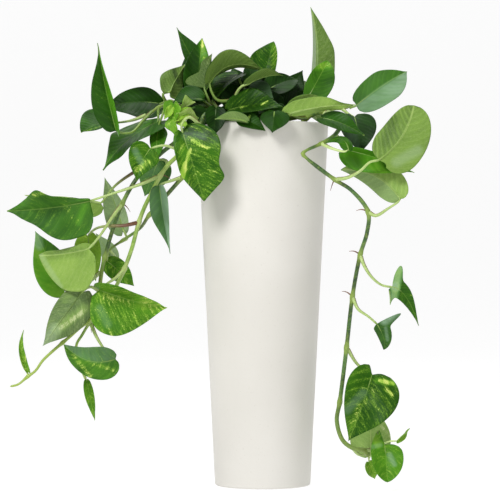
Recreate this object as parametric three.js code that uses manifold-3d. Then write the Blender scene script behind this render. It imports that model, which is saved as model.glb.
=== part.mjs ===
// A golden pothos in a tall round planter: a crown of heart-shaped leaves above the
// rim, one long vine that hangs down beside the pot on the right and three on the left.
// Millimetres, +Z up. The origin is the centre of the pot's flat base, +X is to the
// right and -Y is the front.

import * as THREE from 'three';
import { mergeVertices } from 'three/addons/utils/BufferGeometryUtils.js';
import Module from 'manifold-3d';

const wasm = await Module();
wasm.setup();

// ---------------------------------------------------------------- driving dimensions

const POT_HEIGHT = 462;
const RIM_RADIUS = 84;
const FOOT_RADIUS = 61;
const POT_WALL = 6;
const POT_FLOOR = 12;
const RIM_ROUND = 2.5;
const FOOT_ROUND = 3;
const POT_SIDES = 36;

const SOIL_DROP = 15; // from the rim down to the soil
const SOIL_CROWN = 4; // the soil's middle stands this much higher than its edge
const SOIL_SIDES = 20;
const CLEARANCE = 0.3; // between pieces that touch

const VINE_RADIUS = 2.8;
const SPRIG_RADIUS = 2.5;
const VINE_SIDES = 5;
const VINE_STEP = 18; // length of one step of a stem's tube
const HOOK_STEP = 12; // and of one step where a vine turns back sharply
const JOINT_SWELL = 1.4; // a joint's radius over its stem's
const JOINT_SIDES = [5, 3];
const ROOT_LENGTH = 9;
const ROOT_RADIUS = 1;
const ROOT_SIDES = 4;

const STALK_RADIUS = 1.6;
const STALK_SIDES = 3;
const STALK_STEPS = 2;
const YOUNG_STALK_RADIUS = 1.2;
const STALK_REACH = 0.09; // how far the stalk runs on under the blade, of its length
const STALK_SINK = 0.5; // how far its middle lies under the blade, of its radius

const BLADE_THICKNESS = 0.8;
const BLADE_ACROSS = 4; // cells across a blade
const BLADE_STATIONS = [0, 0.12, 0.32, 0.54, 0.78, 1];
const BLADE_SHOULDER = 0.48; // a blade's width at its stalk, of its widest

// Places are measured on a level view of the plant, in pixels across, pixels down and
// millimetres behind (+) or in front of (-) the pot's axis.
const PIXEL = 1.25; // millimetres to a pixel at the pot's axis
const AXIS_PIXEL = 263; // the pot's axis
const RIM_PIXEL = 121; // the pot's rim
const VIEW_PIXEL = [250, 246]; // the middle of the view
const VIEW_DISTANCE = 3000; // from the eye to the pot's axis

// ---------------------------------------------------------------- colours

const COLOURS = {
  pot: 0xe9e7e2,
  soil: 0x3a2a1e,
  vine: 0x7fa548,
  vine_dark: 0x3f5f2e,
  dark: 0x24491a,
  mid: 0x3c7426,
  bright: 0x5c9a26,
  pale: 0x85a957,
  blue: 0x4a7f45,
};

function material(tone) {
  const roughness = tone === 'soil' ? 0.95 : 0.45;
  return new THREE.MeshStandardMaterial({ color: COLOURS[tone], roughness, metalness: 0 });
}

// ---------------------------------------------------------------- places and solids

function at([across, down, depth]) {
  const widen = (VIEW_DISTANCE + depth) / VIEW_DISTANCE;
  const eyeX = (VIEW_PIXEL[0] - AXIS_PIXEL) * PIXEL;
  const eyeZ = POT_HEIGHT - (VIEW_PIXEL[1] - RIM_PIXEL) * PIXEL;
  const x = eyeX + (across - VIEW_PIXEL[0]) * PIXEL * widen;
  const z = eyeZ - (down - VIEW_PIXEL[1]) * PIXEL * widen;
  return new THREE.Vector3(x, depth, z);
}

function solid(geometry) {
  geometry.deleteAttribute('normal');
  geometry.deleteAttribute('uv');
  const merged = mergeVertices(geometry, 1e-4);
  const vertProperties = new Float32Array(merged.attributes.position.array);
  const triVerts = new Uint32Array(merged.index.array);
  return new wasm.Manifold(new wasm.Mesh({ numProp: 3, vertProperties, triVerts }));
}

function geometryOf(body) {
  const { vertProperties, triVerts } = body.getMesh();
  const geometry = new THREE.BufferGeometry();
  geometry.setAttribute('position', new THREE.BufferAttribute(vertProperties, 3));
  geometry.setIndex(new THREE.BufferAttribute(triVerts, 1));
  geometry.computeVertexNormals();
  return geometry;
}

function largestPiece(body) {
  const pieces = body.decompose();
  return pieces.reduce((best, piece) => (piece.volume() > best.volume() ? piece : best));
}

function tube(points, radius, sides, steps) {
  const section = new THREE.Shape();
  for (let i = 0; i < sides; i += 1) {
    const angle = (2 * Math.PI * i) / sides;
    const [x, y] = [radius * Math.cos(angle), radius * Math.sin(angle)];
    if (i === 0) section.moveTo(x, y);
    else section.lineTo(x, y);
  }
  section.closePath();
  const extrudePath = new THREE.CatmullRomCurve3(points);
  return new THREE.ExtrudeGeometry(section, { steps, extrudePath, curveSegments: 1 });
}

// ---------------------------------------------------------------- the leaf blade

// The blade's half-width at a station, of its widest: a shoulder at the stalk, its
// widest at a third, then a long taper to the tip.
function fullness(station, { widest, taper }) {
  if (station < widest) {
    const rise = Math.sin((Math.PI / 2) * (station / widest));
    return BLADE_SHOULDER + (1 - BLADE_SHOULDER) * rise;
  }
  const run = (station - widest) / (1 - widest);
  return (1 - run) ** taper * (1 + taper * run);
}

// A half blade seen along the rib is an arc: it leaves the rib at the fold angle and
// turns by the curl angle on its way to the edge.
function halfSection(reach, fold, curl) {
  const start = THREE.MathUtils.degToRad(fold);
  const turn = THREE.MathUtils.degToRad(curl);
  if (Math.abs(turn) < 1e-3) return [reach * Math.cos(start), reach * Math.sin(start), start];
  const end = start + turn;
  const out = (reach * (Math.sin(end) - Math.sin(start))) / turn;
  const up = (reach * (Math.cos(start) - Math.cos(end))) / turn;
  return [out, up, end];
}

// The rib is one curve from the stalk to the tip, bent by arch towards the upper face
// and by sweep to the right.
function ribOf(leaf) {
  const [base, tip] = [at(leaf.base), at(leaf.tip)];
  const along = tip.clone().sub(base);
  const length = along.length();
  along.normalize();
  const up = new THREE.Vector3(...leaf.face);
  up.addScaledVector(along, -up.dot(along)).normalize();
  const right = along.clone().cross(up);
  const middle = base.clone().add(tip).multiplyScalar(0.5);
  middle.addScaledVector(up, 2 * leaf.arch * length);
  middle.addScaledVector(right, 2 * leaf.sweep * length);
  return { curve: new THREE.QuadraticBezierCurve3(base, middle, tip), up, length };
}

// One point of the blade's middle surface and the direction its upper face looks in.
function bladePoint(leaf, rib, side, station) {
  const along = rib.curve.getTangent(station);
  const turn = THREE.MathUtils.degToRad(leaf.twist) * (station - 0.5);
  const up = rib.up.clone();
  up.addScaledVector(along, -up.dot(along)).normalize().applyAxisAngle(along, turn);
  const right = along.clone().cross(up);
  const isRight = side > 0 ? 1 : 0;
  const reach = leaf.half[isRight] * fullness(station, leaf) * Math.abs(side);
  const curl = leaf.curl[isRight] * Math.abs(side);
  const [out, raise, angle] = halfSection(reach, leaf.fold[isRight], curl);
  const lobe = leaf.lobe * rib.length * (1 - station) ** 3 * Math.sin(Math.PI * 0.6 * Math.abs(side));
  const ripple = leaf.wave * rib.length * side * side * Math.sin(Math.PI * (3 * station + side));
  const point = rib.curve.getPoint(station);
  point.addScaledVector(right, Math.sign(side) * out);
  point.addScaledVector(up, raise + ripple);
  point.addScaledVector(along, -lobe);
  const normal = up.multiplyScalar(Math.cos(angle));
  normal.addScaledVector(right, -Math.sign(side) * Math.sin(angle));
  return { point, normal };
}

// A closed blade: the same grid of triangles on both faces, joined round the edge.
function blade(leaf) {
  const rib = ribOf(leaf);
  const [upper, lower] = [[], []];
  const rows = [];
  BLADE_STATIONS.forEach((station) => {
    const cells = station === 1 ? 0 : BLADE_ACROSS;
    const row = [];
    for (let i = 0; i <= cells; i += 1) {
      const side = cells === 0 ? 0 : (2 * i) / cells - 1;
      const { point, normal } = bladePoint(leaf, rib, side, station);
      row.push(upper.length);
      upper.push(point.clone().addScaledVector(normal, BLADE_THICKNESS / 2));
      lower.push(point.clone().addScaledVector(normal, -BLADE_THICKNESS / 2));
    }
    rows.push(row);
  });
  const face = [];
  for (let r = 0; r < rows.length - 1; r += 1) {
    const [near, far] = [rows[r], rows[r + 1]];
    for (let i = 0; i < BLADE_ACROSS; i += 1) {
      if (far.length === 1) {
        face.push([near[i], near[i + 1], far[0]]);
      } else {
        face.push([near[i], near[i + 1], far[i + 1]], [near[i], far[i + 1], far[i]]);
      }
    }
  }
  const leftEdge = rows.slice(0, -1).map((row) => row[0]);
  const rightEdge = rows.slice(0, -1).map((row) => row[row.length - 1]);
  const tip = rows[rows.length - 1][0];
  const rim = [...rows[0], ...rightEdge.slice(1), tip, ...leftEdge.slice(1).reverse()];
  const count = upper.length;
  const index = [];
  face.forEach(([a, b, c]) => index.push(a, b, c, c + count, b + count, a + count));
  rim.forEach((a, i) => {
    const b = rim[(i + 1) % rim.length];
    index.push(b, a, a + count, b, a + count, b + count);
  });
  const geometry = new THREE.BufferGeometry().setFromPoints([...upper, ...lower]);
  geometry.setIndex(index);
  return geometry;
}

// ---------------------------------------------------------------- leaves

const stems = {};
const parts = [];

const LEAF_SHAPE = {
  half: [28, 28], widest: 0.3, taper: 1.3, lobe: 0.1, fold: [12, 12], curl: [10, 10],
  arch: 0.08, sweep: 0, twist: 0, wave: 0.01, via: [],
};

// The stalk starts on its stem's middle line and runs on a little way under the blade.
function stalkOf(shape) {
  const rib = ribOf(shape);
  const radius = shape.stalk ?? STALK_RADIUS;
  const start = at(stems[shape.stem].path[shape.joint]);
  const end = rib.curve.getPoint(STALK_REACH).addScaledVector(rib.up, -STALK_SINK * radius);
  const points = [start, ...shape.via.map(at), rib.curve.getPoint(0), end];
  return solid(tube(points, radius, STALK_SIDES, STALK_STEPS + shape.via.length));
}

// A leaf of its own: its stalk ends just short of its stem.
function leaf(name, tone, shape) {
  const full = { ...LEAF_SHAPE, ...shape };
  const stalk = largestPiece(stalkOf(full).subtract(stems[full.stem].socket));
  parts.push({ name, tone, body: stalk.add(solid(blade(full))) });
}

// ---------------------------------------------------------------- stems

function lengthOf(points) {
  return new THREE.CatmullRomCurve3(points).getLength();
}

// A joint: a swollen ring and, where the vine hangs free, a short aerial root.
function jointSwelling(place, radius) {
  const swelling = new THREE.SphereGeometry(radius * JOINT_SWELL, ...JOINT_SIDES);
  swelling.translate(place.x, place.y, place.z);
  return solid(swelling);
}

function aerialRoot(place, direction) {
  const root = new THREE.ConeGeometry(ROOT_RADIUS, ROOT_LENGTH, ROOT_SIDES);
  root.translate(0, ROOT_LENGTH / 2, 0);
  const turn = new THREE.Quaternion();
  turn.setFromUnitVectors(new THREE.Vector3(0, 1, 0), new THREE.Vector3(...direction).normalize());
  root.applyQuaternion(turn);
  root.translate(place.x, place.y, place.z);
  return solid(root);
}

// A stem is kept with its socket, a slightly fatter copy that is taken out of whatever
// is seated on it.
function stem(name, { path, joints = [], roots = [], radius = VINE_RADIUS, step = VINE_STEP }) {
  const points = path.map(at);
  const steps = Math.round(lengthOf(points) / step);
  let body = solid(tube(points, radius, VINE_SIDES, steps));
  let socket = solid(tube(points, radius + CLEARANCE, VINE_SIDES, steps));
  joints.forEach((index) => {
    body = body.add(jointSwelling(points[index], radius));
    socket = socket.add(jointSwelling(points[index], radius + CLEARANCE));
  });
  roots.forEach(([index, direction]) => {
    body = body.add(aerialRoot(points[index], direction));
  });
  stems[name] = { path, body, socket };
}

// Leaves grown onto their stem as one body.
function growOn(name, leaves) {
  leaves.forEach((shape) => {
    const full = { ...LEAF_SHAPE, stem: name, ...shape };
    stems[name].body = stems[name].body.add(stalkOf(full)).add(solid(blade(full)));
  });
}

// A sprig is a short stem with all its leaves.
function sprig(name, tone, leaves) {
  growOn(name, leaves);
  parts.push({ name, tone, body: stems[name].body });
}

// ---------------------------------------------------------------- the stems' routes

stem('vine_right', {
  step: HOOK_STEP,
  path: [
    [296, 153, -20], [298, 133, -20], [308, 115, -28], [329, 109, -44], [343, 119, -60],
    [338, 131, -72], [323, 141, -84], [307, 147, -94], [304, 152, -97], [309, 158, -95],
    [337, 178, -86], [354, 189, -80], [371, 211, -74], [370, 232, -70], [363, 255, -68],
    [355, 298, -64], [349, 350, -62], [342, 406, -60], [339, 425, -58], [345, 445, -56],
    [355, 453, -54], [368, 456, -52], [372, 462, -50],
  ],
  joints: [2, 3, 6, 8, 10, 12, 14, 15, 16, 17, 21, 22],
  roots: [[12, [-1, 0.1, 0.1]], [14, [-1, 0.2, 0.3]], [15, [-1, 0.2, 0.5]], [10, [-0.4, 0.2, -1]]],
});

stem('vine_left_light', {
  path: [
    [224, 153, -26], [223, 133, -26], [213, 115, -36], [197, 111, -52], [189, 124, -62],
    [185, 140, -60], [177, 152, -54], [166, 163, -48], [158, 174, -44], [150, 190, -42],
    [142, 206, -40], [136, 222, -38], [129, 248, -38], [121, 270, -36], [110, 292, -18],
    [96, 312, -12], [86, 324, -12], [78, 337, -14], [72, 348, -12], [75, 368, -12], [82, 383, -20],
  ],
  joints: [8, 11, 13, 16, 20],
  roots: [[8, [0.6, 0.3, -0.2]], [16, [0.1, 0.4, -1]]],
});

stem('vine_left_dark', {
  path: [
    [218, 153, -8], [217, 133, -8], [208, 116, -18], [196, 110, -34], [186, 122, -40],
    [176, 137, -34], [160, 150, -24], [147, 162, -22], [133, 178, -26], [119, 203, -26],
    [109, 230, -24], [101, 258, -24], [98, 272, -24], [95, 292, -26], [87, 320, -30],
    [75, 330, -32], [64, 340, -34], [58, 345, -36], [38, 363, -38], [30, 374, -40],
    [22, 380, -40], [12, 388, -42], [4, 390, -44],
  ],
  joints: [7, 9, 11, 17, 20],
  roots: [[9, [0.7, 0.3, -0.7]]],
});

stem('vine_left_short', {
  path: [
    [232, 153, -40], [231, 133, -40], [222, 115, -56], [206, 110, -72], [199, 122, -88],
    [196, 145, -76], [189, 164, -66], [180, 176, -60], [160, 199, -54], [147, 214, -50],
    [137, 228, -22], [120, 240, -12], [106, 250, -8], [103, 256, -8],
  ],
  joints: [7, 9, 11, 13],
});

const sprigSize = { radius: SPRIG_RADIUS };

stem('stem_left', {
  ...sprigSize,
  path: [
    [211, 153, 12], [210, 133, 12], [203, 116, 10], [190, 106, 6], [176, 102, 0],
    [165, 101, -6], [156, 104, -10], [149, 109, -14], [143, 112, -20],
  ],
  joints: [3, 4, 5, 6, 7],
});

stem('stem_right', {
  ...sprigSize,
  path: [
    [300, 153, 12], [301, 133, 12], [306, 114, 6], [316, 107, 0], [332, 106, -2], [344, 105, -4],
    [352, 104, -4],
  ],
  joints: [2, 3, 4, 5],
});

stem('sprig_centre_left', {
  ...sprigSize,
  path: [[236, 153, 2], [235, 133, 2], [224, 114, -6], [211, 104, -18], [200, 102, -42], [188, 106, -66]],
});

stem('sprig_centre', {
  ...sprigSize,
  path: [[252, 153, -16], [251, 133, -16], [247, 116, -26], [240, 103, -38], [234, 97, -44]],
});

stem('sprig_centre_right', {
  ...sprigSize,
  path: [[272, 153, 0], [272, 133, 0], [270, 116, -2], [267, 102, -4], [264, 92, -2]],
});

stem('sprig_back', {
  ...sprigSize,
  path: [[264, 153, 42], [264, 133, 42], [262, 114, 50], [258, 98, 58], [252, 88, 60]],
});

// ---------------------------------------------------------------- leaves of the left side

leaf('leaf_front', 'bright', {
  stem: 'vine_left_short', joint: 4, via: [[187, 114, -102], [180, 121, -100]],
  base: [181, 130, -94], tip: [203, 200, -98], face: [0.05, -1, 0.05],
  half: [42, 18], taper: 1.1, fold: [8, 14], curl: [14, 10], wave: 0.02,
});
leaf('leaf_left_tall', 'mid', {
  stem: 'stem_left', joint: 7, via: [[140, 118, -46], [127, 130, -72]],
  base: [113, 128, -80], tip: [93.5, 38, -62], face: [-0.42, -0.91, 0],
  half: [26, 32], taper: 2, fold: [46, 46], curl: [-8, -8], arch: 0.03,
});
leaf('leaf_left_low', 'mid', {
  stem: 'stem_left', joint: 8, via: [[130, 117, -26]],
  base: [112, 119, -34], tip: [77, 130, -74], face: [-0.1, -0.6, 0.8],
  half: [30, 30], taper: 0.9, fold: [14, 14],
});
leaf('leaf_left_flat', 'dark', {
  stem: 'stem_left', joint: 4, via: [[168, 97, 16]],
  base: [157, 100, 22], tip: [101, 103, 6], face: [-0.05, -0.82, 0.55],
  half: [25, 22], taper: 1, fold: [6, 6],
});
leaf('leaf_left_drop', 'mid', {
  stem: 'stem_left', joint: 6, via: [[156, 111, -12]],
  base: [154, 118, -16], tip: [99, 168, -54], face: [-0.55, -0.5, 0.6],
  half: [22, 28], fold: [4, 4], curl: [-14, -14],
});
leaf('leaf_left_drop_small', 'mid', {
  stem: 'stem_left', joint: 5, via: [[161, 110, -30]],
  base: [157, 122, -44], tip: [155, 161, -62], face: [-0.1, -0.8, 0.5],
  half: [12, 12], fold: [-10, -10], curl: [-20, -20],
});
leaf('leaf_left_under', 'pale', {
  stem: 'stem_left', joint: 5, via: [[162, 95, -16], [161, 90, -22]],
  base: [164, 86, -24], tip: [183, 60, 4], face: [-0.2, 0.9, 0.3],
  half: [21, 21],
});
leaf('leaf_left_mottled', 'bright', {
  stem: 'vine_left_short', joint: 5, via: [[177, 147, -76], [162, 143, -76]],
  base: [148, 146, -78], tip: [134, 179, -94], face: [0.1, -0.9, 0.3],
  half: [24, 24], fold: [10, 16], wave: 0.02,
});
leaf('leaf_left_mottled_low', 'mid', {
  stem: 'vine_left_light', joint: 7, via: [[163, 158, -38]],
  base: [156, 158, -28], tip: [142, 195, -28], face: [0.1, -0.98, 0.1],
  half: [22, 20], fold: [6, 6],
});
leaf('leaf_far_left', 'mid', {
  stem: 'vine_left_light', joint: 8, via: [[140, 182, -48], [110, 192, -46]],
  base: [86, 200, -44], tip: [1, 210, -58], face: [0, -0.88, -0.48],
  half: [44, 34], fold: [34, 46], curl: [6, 0], arch: 0.05, wave: 0.03,
});
leaf('leaf_far_left_back', 'pale', {
  stem: 'vine_left_dark', joint: 7, via: [[132, 170, -18], [112, 184, -12]],
  base: [92, 203, -6], tip: [19, 194, 8], face: [0.1, 0.95, 0.2],
  half: [6, 26], fold: [10, 10],
});
leaf('leaf_left_grey', 'pale', {
  stem: 'vine_left_short', joint: 11, via: [[124, 238, 2]],
  base: [116, 228, 8], tip: [101, 176, 14], face: [0.1, 0.95, 0.1],
  half: [8, 22], fold: [14, 14],
});
leaf('leaf_left_hanging', 'dark', {
  stem: 'vine_left_short', joint: 7, via: [[170, 179, -64]],
  base: [157, 184, -66], tip: [168, 254, -68], face: [-0.31, -0.95, 0],
  half: [20, 22], fold: [52, 52], curl: [-10, -10], arch: 0.02,
});
leaf('leaf_left_young', 'bright', {
  stem: 'vine_left_light', joint: 11, via: [[122, 225, -44], [95, 227, -32]],
  base: [84, 236, -12], tip: [92, 282, -2], face: [-0.15, -0.97, 0.1],
  half: [16, 20],
});
leaf('leaf_left_broad', 'pale', {
  stem: 'vine_left_dark', joint: 9, via: [[108, 218, -40], [95, 237, -62]],
  base: [85, 249, -72], tip: [34, 256, -36], face: [0, 0.8, -0.6],
  half: [34, 52], widest: 0.4, taper: 0.85, fold: [42, 42], curl: [6, 4], arch: 0.04,
});
leaf('leaf_left_back', 'mid', {
  stem: 'vine_left_dark', joint: 12, via: [[84, 284, -8], [70, 294, 2]],
  base: [60, 291, 4], tip: [30, 231, -4], face: [-0.1, -0.95, 0.1],
  half: [26, 26],
});
leaf('leaf_left_cream', 'pale', {
  stem: 'vine_left_dark', joint: 13, via: [[86, 288, -38]],
  base: [77, 294, -46], tip: [38, 348, -62], face: [0, 1, 0.05],
  half: [20, 28], fold: [14, 10],
});
leaf('leaf_left_heart', 'bright', {
  stem: 'vine_left_light', joint: 13, via: [[112, 279, -44], [103, 285, -50]],
  base: [96, 291, -54], tip: [165, 309, -62], face: [0, -0.86, -0.5],
  half: [34, 50], lobe: 0.08, fold: [40, 34], curl: [-6, 0], arch: 0.05,
});
leaf('leaf_left_mottled_small', 'bright', {
  stem: 'vine_left_short', joint: 13, via: [],
  base: [104, 262, -2], tip: [131, 287, 6], face: [0.2, -0.95, 0.2],
  half: [14, 16],
});
leaf('leaf_left_sliver', 'pale', {
  stem: 'vine_left_short', joint: 12, via: [[112, 258, 10]],
  base: [110, 262, 16], tip: [92, 233, 20], face: [0.2, 0.95, 0],
  half: [12, 12], stalk: YOUNG_STALK_RADIUS,
});
leaf('leaf_left_bottom', 'mid', {
  stem: 'vine_left_light', joint: 16, via: [[93, 340, -16], [104, 356, -18]],
  base: [112, 362, -24], tip: [59, 347, -52], face: [0, -0.95, 0.2],
  half: [24, 20], taper: 1, sweep: -0.16, arch: 0.04,
});

// ---------------------------------------------------------------- leaves of the right side

leaf('leaf_right_round', 'pale', {
  stem: 'vine_right', joint: 10, via: [[350, 176, -94], [363, 169, -98], [373, 160, -96]],
  base: [382, 158, -92], tip: [418, 102, -88], face: [0.15, 0.98, 0.1],
  half: [31, 31], widest: 0.38, taper: 0.75, fold: [8, 10], curl: [8, 8], sweep: -0.1,
});
leaf('leaf_right_lower', 'pale', {
  stem: 'vine_right', joint: 12, via: [[379, 215, -80], [391, 208, -78]],
  base: [404, 198, -74], tip: [343, 168, -50], face: [0.1, 0.98, 0.1],
  half: [36, 14], taper: 1, fold: [8, 40],
});
leaf('leaf_right_middle', 'mid', {
  stem: 'vine_right', joint: 5, via: [[341, 139, -66]],
  base: [347, 149, -62], tip: [418, 171, -66], face: [0, -0.93, 0.37],
  half: [14, 28], widest: 0.25, taper: 1.5, lobe: 0.16, fold: [64, 8],
});
leaf('leaf_right_curl', 'bright', {
  stem: 'vine_right', joint: 6, via: [[334, 146, -98], [347, 149, -104]],
  base: [352, 145, -104], tip: [328, 140, -92], face: [0, -0.1, 1],
  half: [14, 16], fold: [-6, -6], curl: [-20, -20], arch: 0.2,
});
leaf('leaf_right_dark', 'dark', {
  stem: 'stem_right', joint: 5, via: [[350, 110, -14]],
  base: [357, 114, -20], tip: [363, 152, -42], face: [0.3, -0.85, 0.4],
  half: [24, 30],
});
leaf('leaf_right_below', 'mid', {
  stem: 'vine_right', joint: 3, via: [[326, 110, -58]],
  base: [325, 115, -70], tip: [367, 133, -88], face: [0, -0.7, 0.7],
  half: [14, 20],
});
leaf('leaf_right_fan', 'blue', {
  stem: 'stem_right', joint: 6, via: [],
  base: [359, 102, -4], tip: [411, 67, 22], face: [0.2, -0.82, 0.5],
  half: [20, 30], widest: 0.42, taper: 1.1, lobe: 0.04, fold: [14, 14],
});
leaf('leaf_right_tall', 'pale', {
  stem: 'stem_right', joint: 3, via: [[313, 100, 14]],
  base: [313, 92, 20], tip: [312, 1, 34], face: [0.1, 0.98, 0],
  half: [25, 16], fold: [12, 60], curl: [10, 10], sweep: -0.06, arch: 0.03,
});
leaf('leaf_right_tall_front', 'bright', {
  stem: 'stem_right', joint: 3, via: [[315, 100, -12]],
  base: [317, 95, -18], tip: [331, 57, 6], face: [0.2, -0.95, 0.3],
  half: [14, 22], taper: 1.1, fold: [12, 8],
});
leaf('leaf_right_under_left', 'pale', {
  stem: 'stem_right', joint: 2, via: [[298, 111, -20]],
  base: [290, 112, -38], tip: [338, 104, -34], face: [0, 0.6, 0.8],
  half: [26, 24], arch: 0.1,
});
leaf('leaf_right_under_right', 'pale', {
  stem: 'vine_right', joint: 2, via: [[300, 115, -50], [294, 112, -70]],
  base: [290, 110, -82], tip: [358, 101, -86], face: [0, 0.7, 0.7],
  half: [12, 16], arch: 0.05,
});
leaf('leaf_small_upper', 'mid', {
  stem: 'vine_right', joint: 14, via: [[366, 264, -74], [374, 277, -74], [385, 286, -70]],
  base: [397, 288, -66], tip: [423, 328, -50], face: [-0.3, -0.8, 0.5],
  half: [20, 22], lobe: 0.24, fold: [58, 6], arch: 0.05,
});
leaf('leaf_small_lower', 'mid', {
  stem: 'vine_right', joint: 15, via: [[361, 311, -74], [371, 318, -76]],
  base: [381, 325, -74], tip: [389, 352, -46], face: [-0.2, -0.6, 0.75],
  half: [26, 14], lobe: 0.2, arch: 0.08,
});
leaf('leaf_right_heart', 'mid', {
  stem: 'vine_right', joint: 16, via: [[359, 366, -54], [368, 374, -54]],
  base: [375, 378, -64], tip: [351, 446, -84], face: [0.1, -1, 0.05],
  half: [42, 30], lobe: 0.13, fold: [14, 12], curl: [4, 10], arch: 0.1,
});
leaf('leaf_right_backing', 'pale', {
  stem: 'vine_right', joint: 20, via: [[362, 460, -44]],
  base: [374, 458, -34], tip: [374, 408, -30], face: [0, 1, 0.1],
  half: [27, 27],
});
leaf('leaf_bottom', 'bright', {
  stem: 'vine_right', joint: 21, via: [[374, 449, -62], [380, 440, -66]],
  base: [385, 442, -66], tip: [391, 488, -88], face: [0.05, -1, 0.1],
  half: [22, 20],
});

// ---------------------------------------------------------------- the crown's sprigs

sprig('sprig_centre_left', 'dark', [
  { joint: 2, via: [[208, 92, 10]], base: [199, 66, 20], tip: [175, 22, 26],
    face: [-0.4, -0.9, 0.1], half: [9, 18], taper: 1.7 },
  { joint: 3, via: [[202, 98, -6]], base: [196, 88, -4], tip: [201, 33, 2],
    face: [0, -0.95, 0.3], half: [20, 16], taper: 1.1 },
  { joint: 3, via: [[207, 95, -28]], base: [203, 84, -26], tip: [211, 49, -16],
    face: [-0.2, 0.9, -0.3], half: [6, 26], taper: 1.8 },
  { joint: 3, via: [[206, 100, -34]], base: [202, 96, -44], tip: [170, 100, -52],
    face: [0, -0.6, 0.8], half: [12, 24] },
  { joint: 5, via: [[180, 104, -74]], base: [172, 101, -80], tip: [173, 135, -86],
    face: [-0.5, -0.8, 0.2], half: [14, 18], fold: [20, 20], stalk: YOUNG_STALK_RADIUS },
  { joint: 5, via: [], base: [180, 106, -79], tip: [194, 99, -76],
    face: [0, 0.5, 0.8], half: [12, 12], stalk: YOUNG_STALK_RADIUS },
  { joint: 5, via: [], base: [177, 115, -82], tip: [196, 117, -80],
    face: [0, -0.6, 0.8], half: [10, 10], fold: [40, 40], curl: [40, 40],
    stalk: YOUNG_STALK_RADIUS },
]);

sprig('sprig_centre', 'mid', [
  { joint: 4, via: [[216, 96, -52]], base: [208, 79, -56], tip: [265, 67, -44],
    face: [-0.1, 0.45, 0.9], half: [28, 28], arch: 0.26 },
  { joint: 4, via: [[237, 88, -56], [242, 82, -62]], base: [249, 79, -64], tip: [284, 71, -56],
    face: [-0.05, 0.2, 0.98], half: [22, 22], lobe: 0.2 },
  { joint: 3, via: [[243, 92, -46]], base: [248, 86, -48], tip: [274, 94, -66],
    face: [0, -0.6, 0.8], half: [16, 16] },
  { joint: 3, via: [[232, 104, -54]], base: [228, 107, -60], tip: [284, 103, -86],
    face: [0, -0.45, 0.9], half: [26, 24] },
  { joint: 2, via: [[266, 110, -66], [272, 110, -84]], base: [275, 108, -90], tip: [273, 130, -102],
    face: [0, -0.85, 0.5], half: [16, 16], fold: [-10, -10] },
  { joint: 2, via: [[246, 110, -62], [241, 111, -82]], base: [241, 114, -90], tip: [267, 127, -92],
    face: [0, -0.85, 0.5], half: [11, 13] },
  { joint: 2, via: [[250, 110, -60], [250, 112, -84]], base: [246, 118, -98], tip: [214, 116, -104],
    face: [0, 0.5, 0.85], half: [11, 11] },
]);

sprig('sprig_centre_right', 'dark', [
  { joint: 4, via: [[262, 84, 8]], base: [264, 76, 14], tip: [274.5, 37, 34],
    face: [0, -0.85, 0.5], half: [25, 13], taper: 1 },
  { joint: 4, via: [[266, 88, -12]], base: [268, 86, -16], tip: [300, 75, 8],
    face: [0.1, -0.7, 0.7], half: [16, 24] },
  { joint: 3, via: [[256, 90, -14]], base: [250, 80, -18], tip: [250, 56, 0],
    face: [0.1, -0.8, 0.6], half: [10, 16] },
  { joint: 3, via: [[250, 92, -14], [240, 78, -12]], base: [238, 71, -12], tip: [212, 98, -36],
    face: [-0.5, -0.6, 0.6], half: [24, 24] },
]);

sprig('sprig_back', 'dark', [
  { joint: 4, via: [[262, 90, 44]], base: [284, 96, 30], tip: [304, 66, 34],
    face: [0.1, -0.9, 0.3], half: [14, 20] },
  { joint: 2, via: [[240, 104, 66]], base: [226, 98, 76], tip: [192, 86, 112],
    face: [-0.2, 0.3, 0.9], half: [30, 30], arch: 0.14 },
  { joint: 3, via: [[272, 92, 78]], base: [280, 90, 92], tip: [300, 96, 146],
    face: [0.1, 0.3, 0.9], half: [30, 30], arch: 0.14 },
  { joint: 4, via: [[246, 80, 74]], base: [242, 76, 88], tip: [232, 92, 150],
    face: [0, 0.4, 0.9], half: [30, 30], arch: 0.14 },
  { joint: 2, via: [[284, 104, 64]], base: [300, 102, 84], tip: [322, 122, 130],
    face: [0.3, 0.5, 0.8], half: [26, 26], arch: 0.12 },
  { joint: 2, via: [[250, 108, 80]], base: [246, 110, 98], tip: [238, 150, 128],
    face: [0, 0.85, 0.5], half: [30, 30], arch: 0.12 },
  { joint: 2, via: [[254, 110, 42]], base: [244, 108, 30], tip: [204, 104, 62],
    face: [-0.1, 0.1, 0.98], half: [26, 28], arch: 0.12 },
  { joint: 2, via: [[274, 112, 42]], base: [284, 110, 36], tip: [326, 108, 64],
    face: [0.1, 0.1, 0.98], half: [28, 26], arch: 0.12 },
]);

// ---------------------------------------------------------------- young leaves at the vines' tips

const ROLLED = { fold: [40, 40], curl: [60, 60], arch: 0.02, stalk: YOUNG_STALK_RADIUS };

growOn('vine_left_light', [
  { ...ROLLED, joint: 20, base: [83, 386, -22], tip: [91, 425, -26],
    face: [0, -1, 0.1], half: [13, 13] },
]);
growOn('vine_left_dark', [
  { ...ROLLED, joint: 20, base: [22, 374, -40], tip: [18, 332, -40],
    face: [0.4, -0.9, 0], half: [10, 10], sweep: -0.12 },
]);
growOn('vine_right', [
  { ...ROLLED, joint: 22, via: [[386, 452, -40], [396, 448, -46]],
    base: [401, 447, -50], tip: [414, 433, -54], face: [0, -1, 0.2], half: [7, 7] },
  { joint: 22, base: [372, 468, -48], tip: [378, 485, -44],
    face: [0.2, -1, 0], half: [10, 10], fold: [20, 20], stalk: YOUNG_STALK_RADIUS },
]);

['vine_right', 'vine_left_light'].forEach((name) => {
  parts.push({ name, tone: 'vine', body: stems[name].body });
});
['vine_left_dark', 'vine_left_short', 'stem_left', 'stem_right'].forEach((name) => {
  parts.push({ name, tone: 'vine_dark', body: stems[name].body });
});

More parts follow.
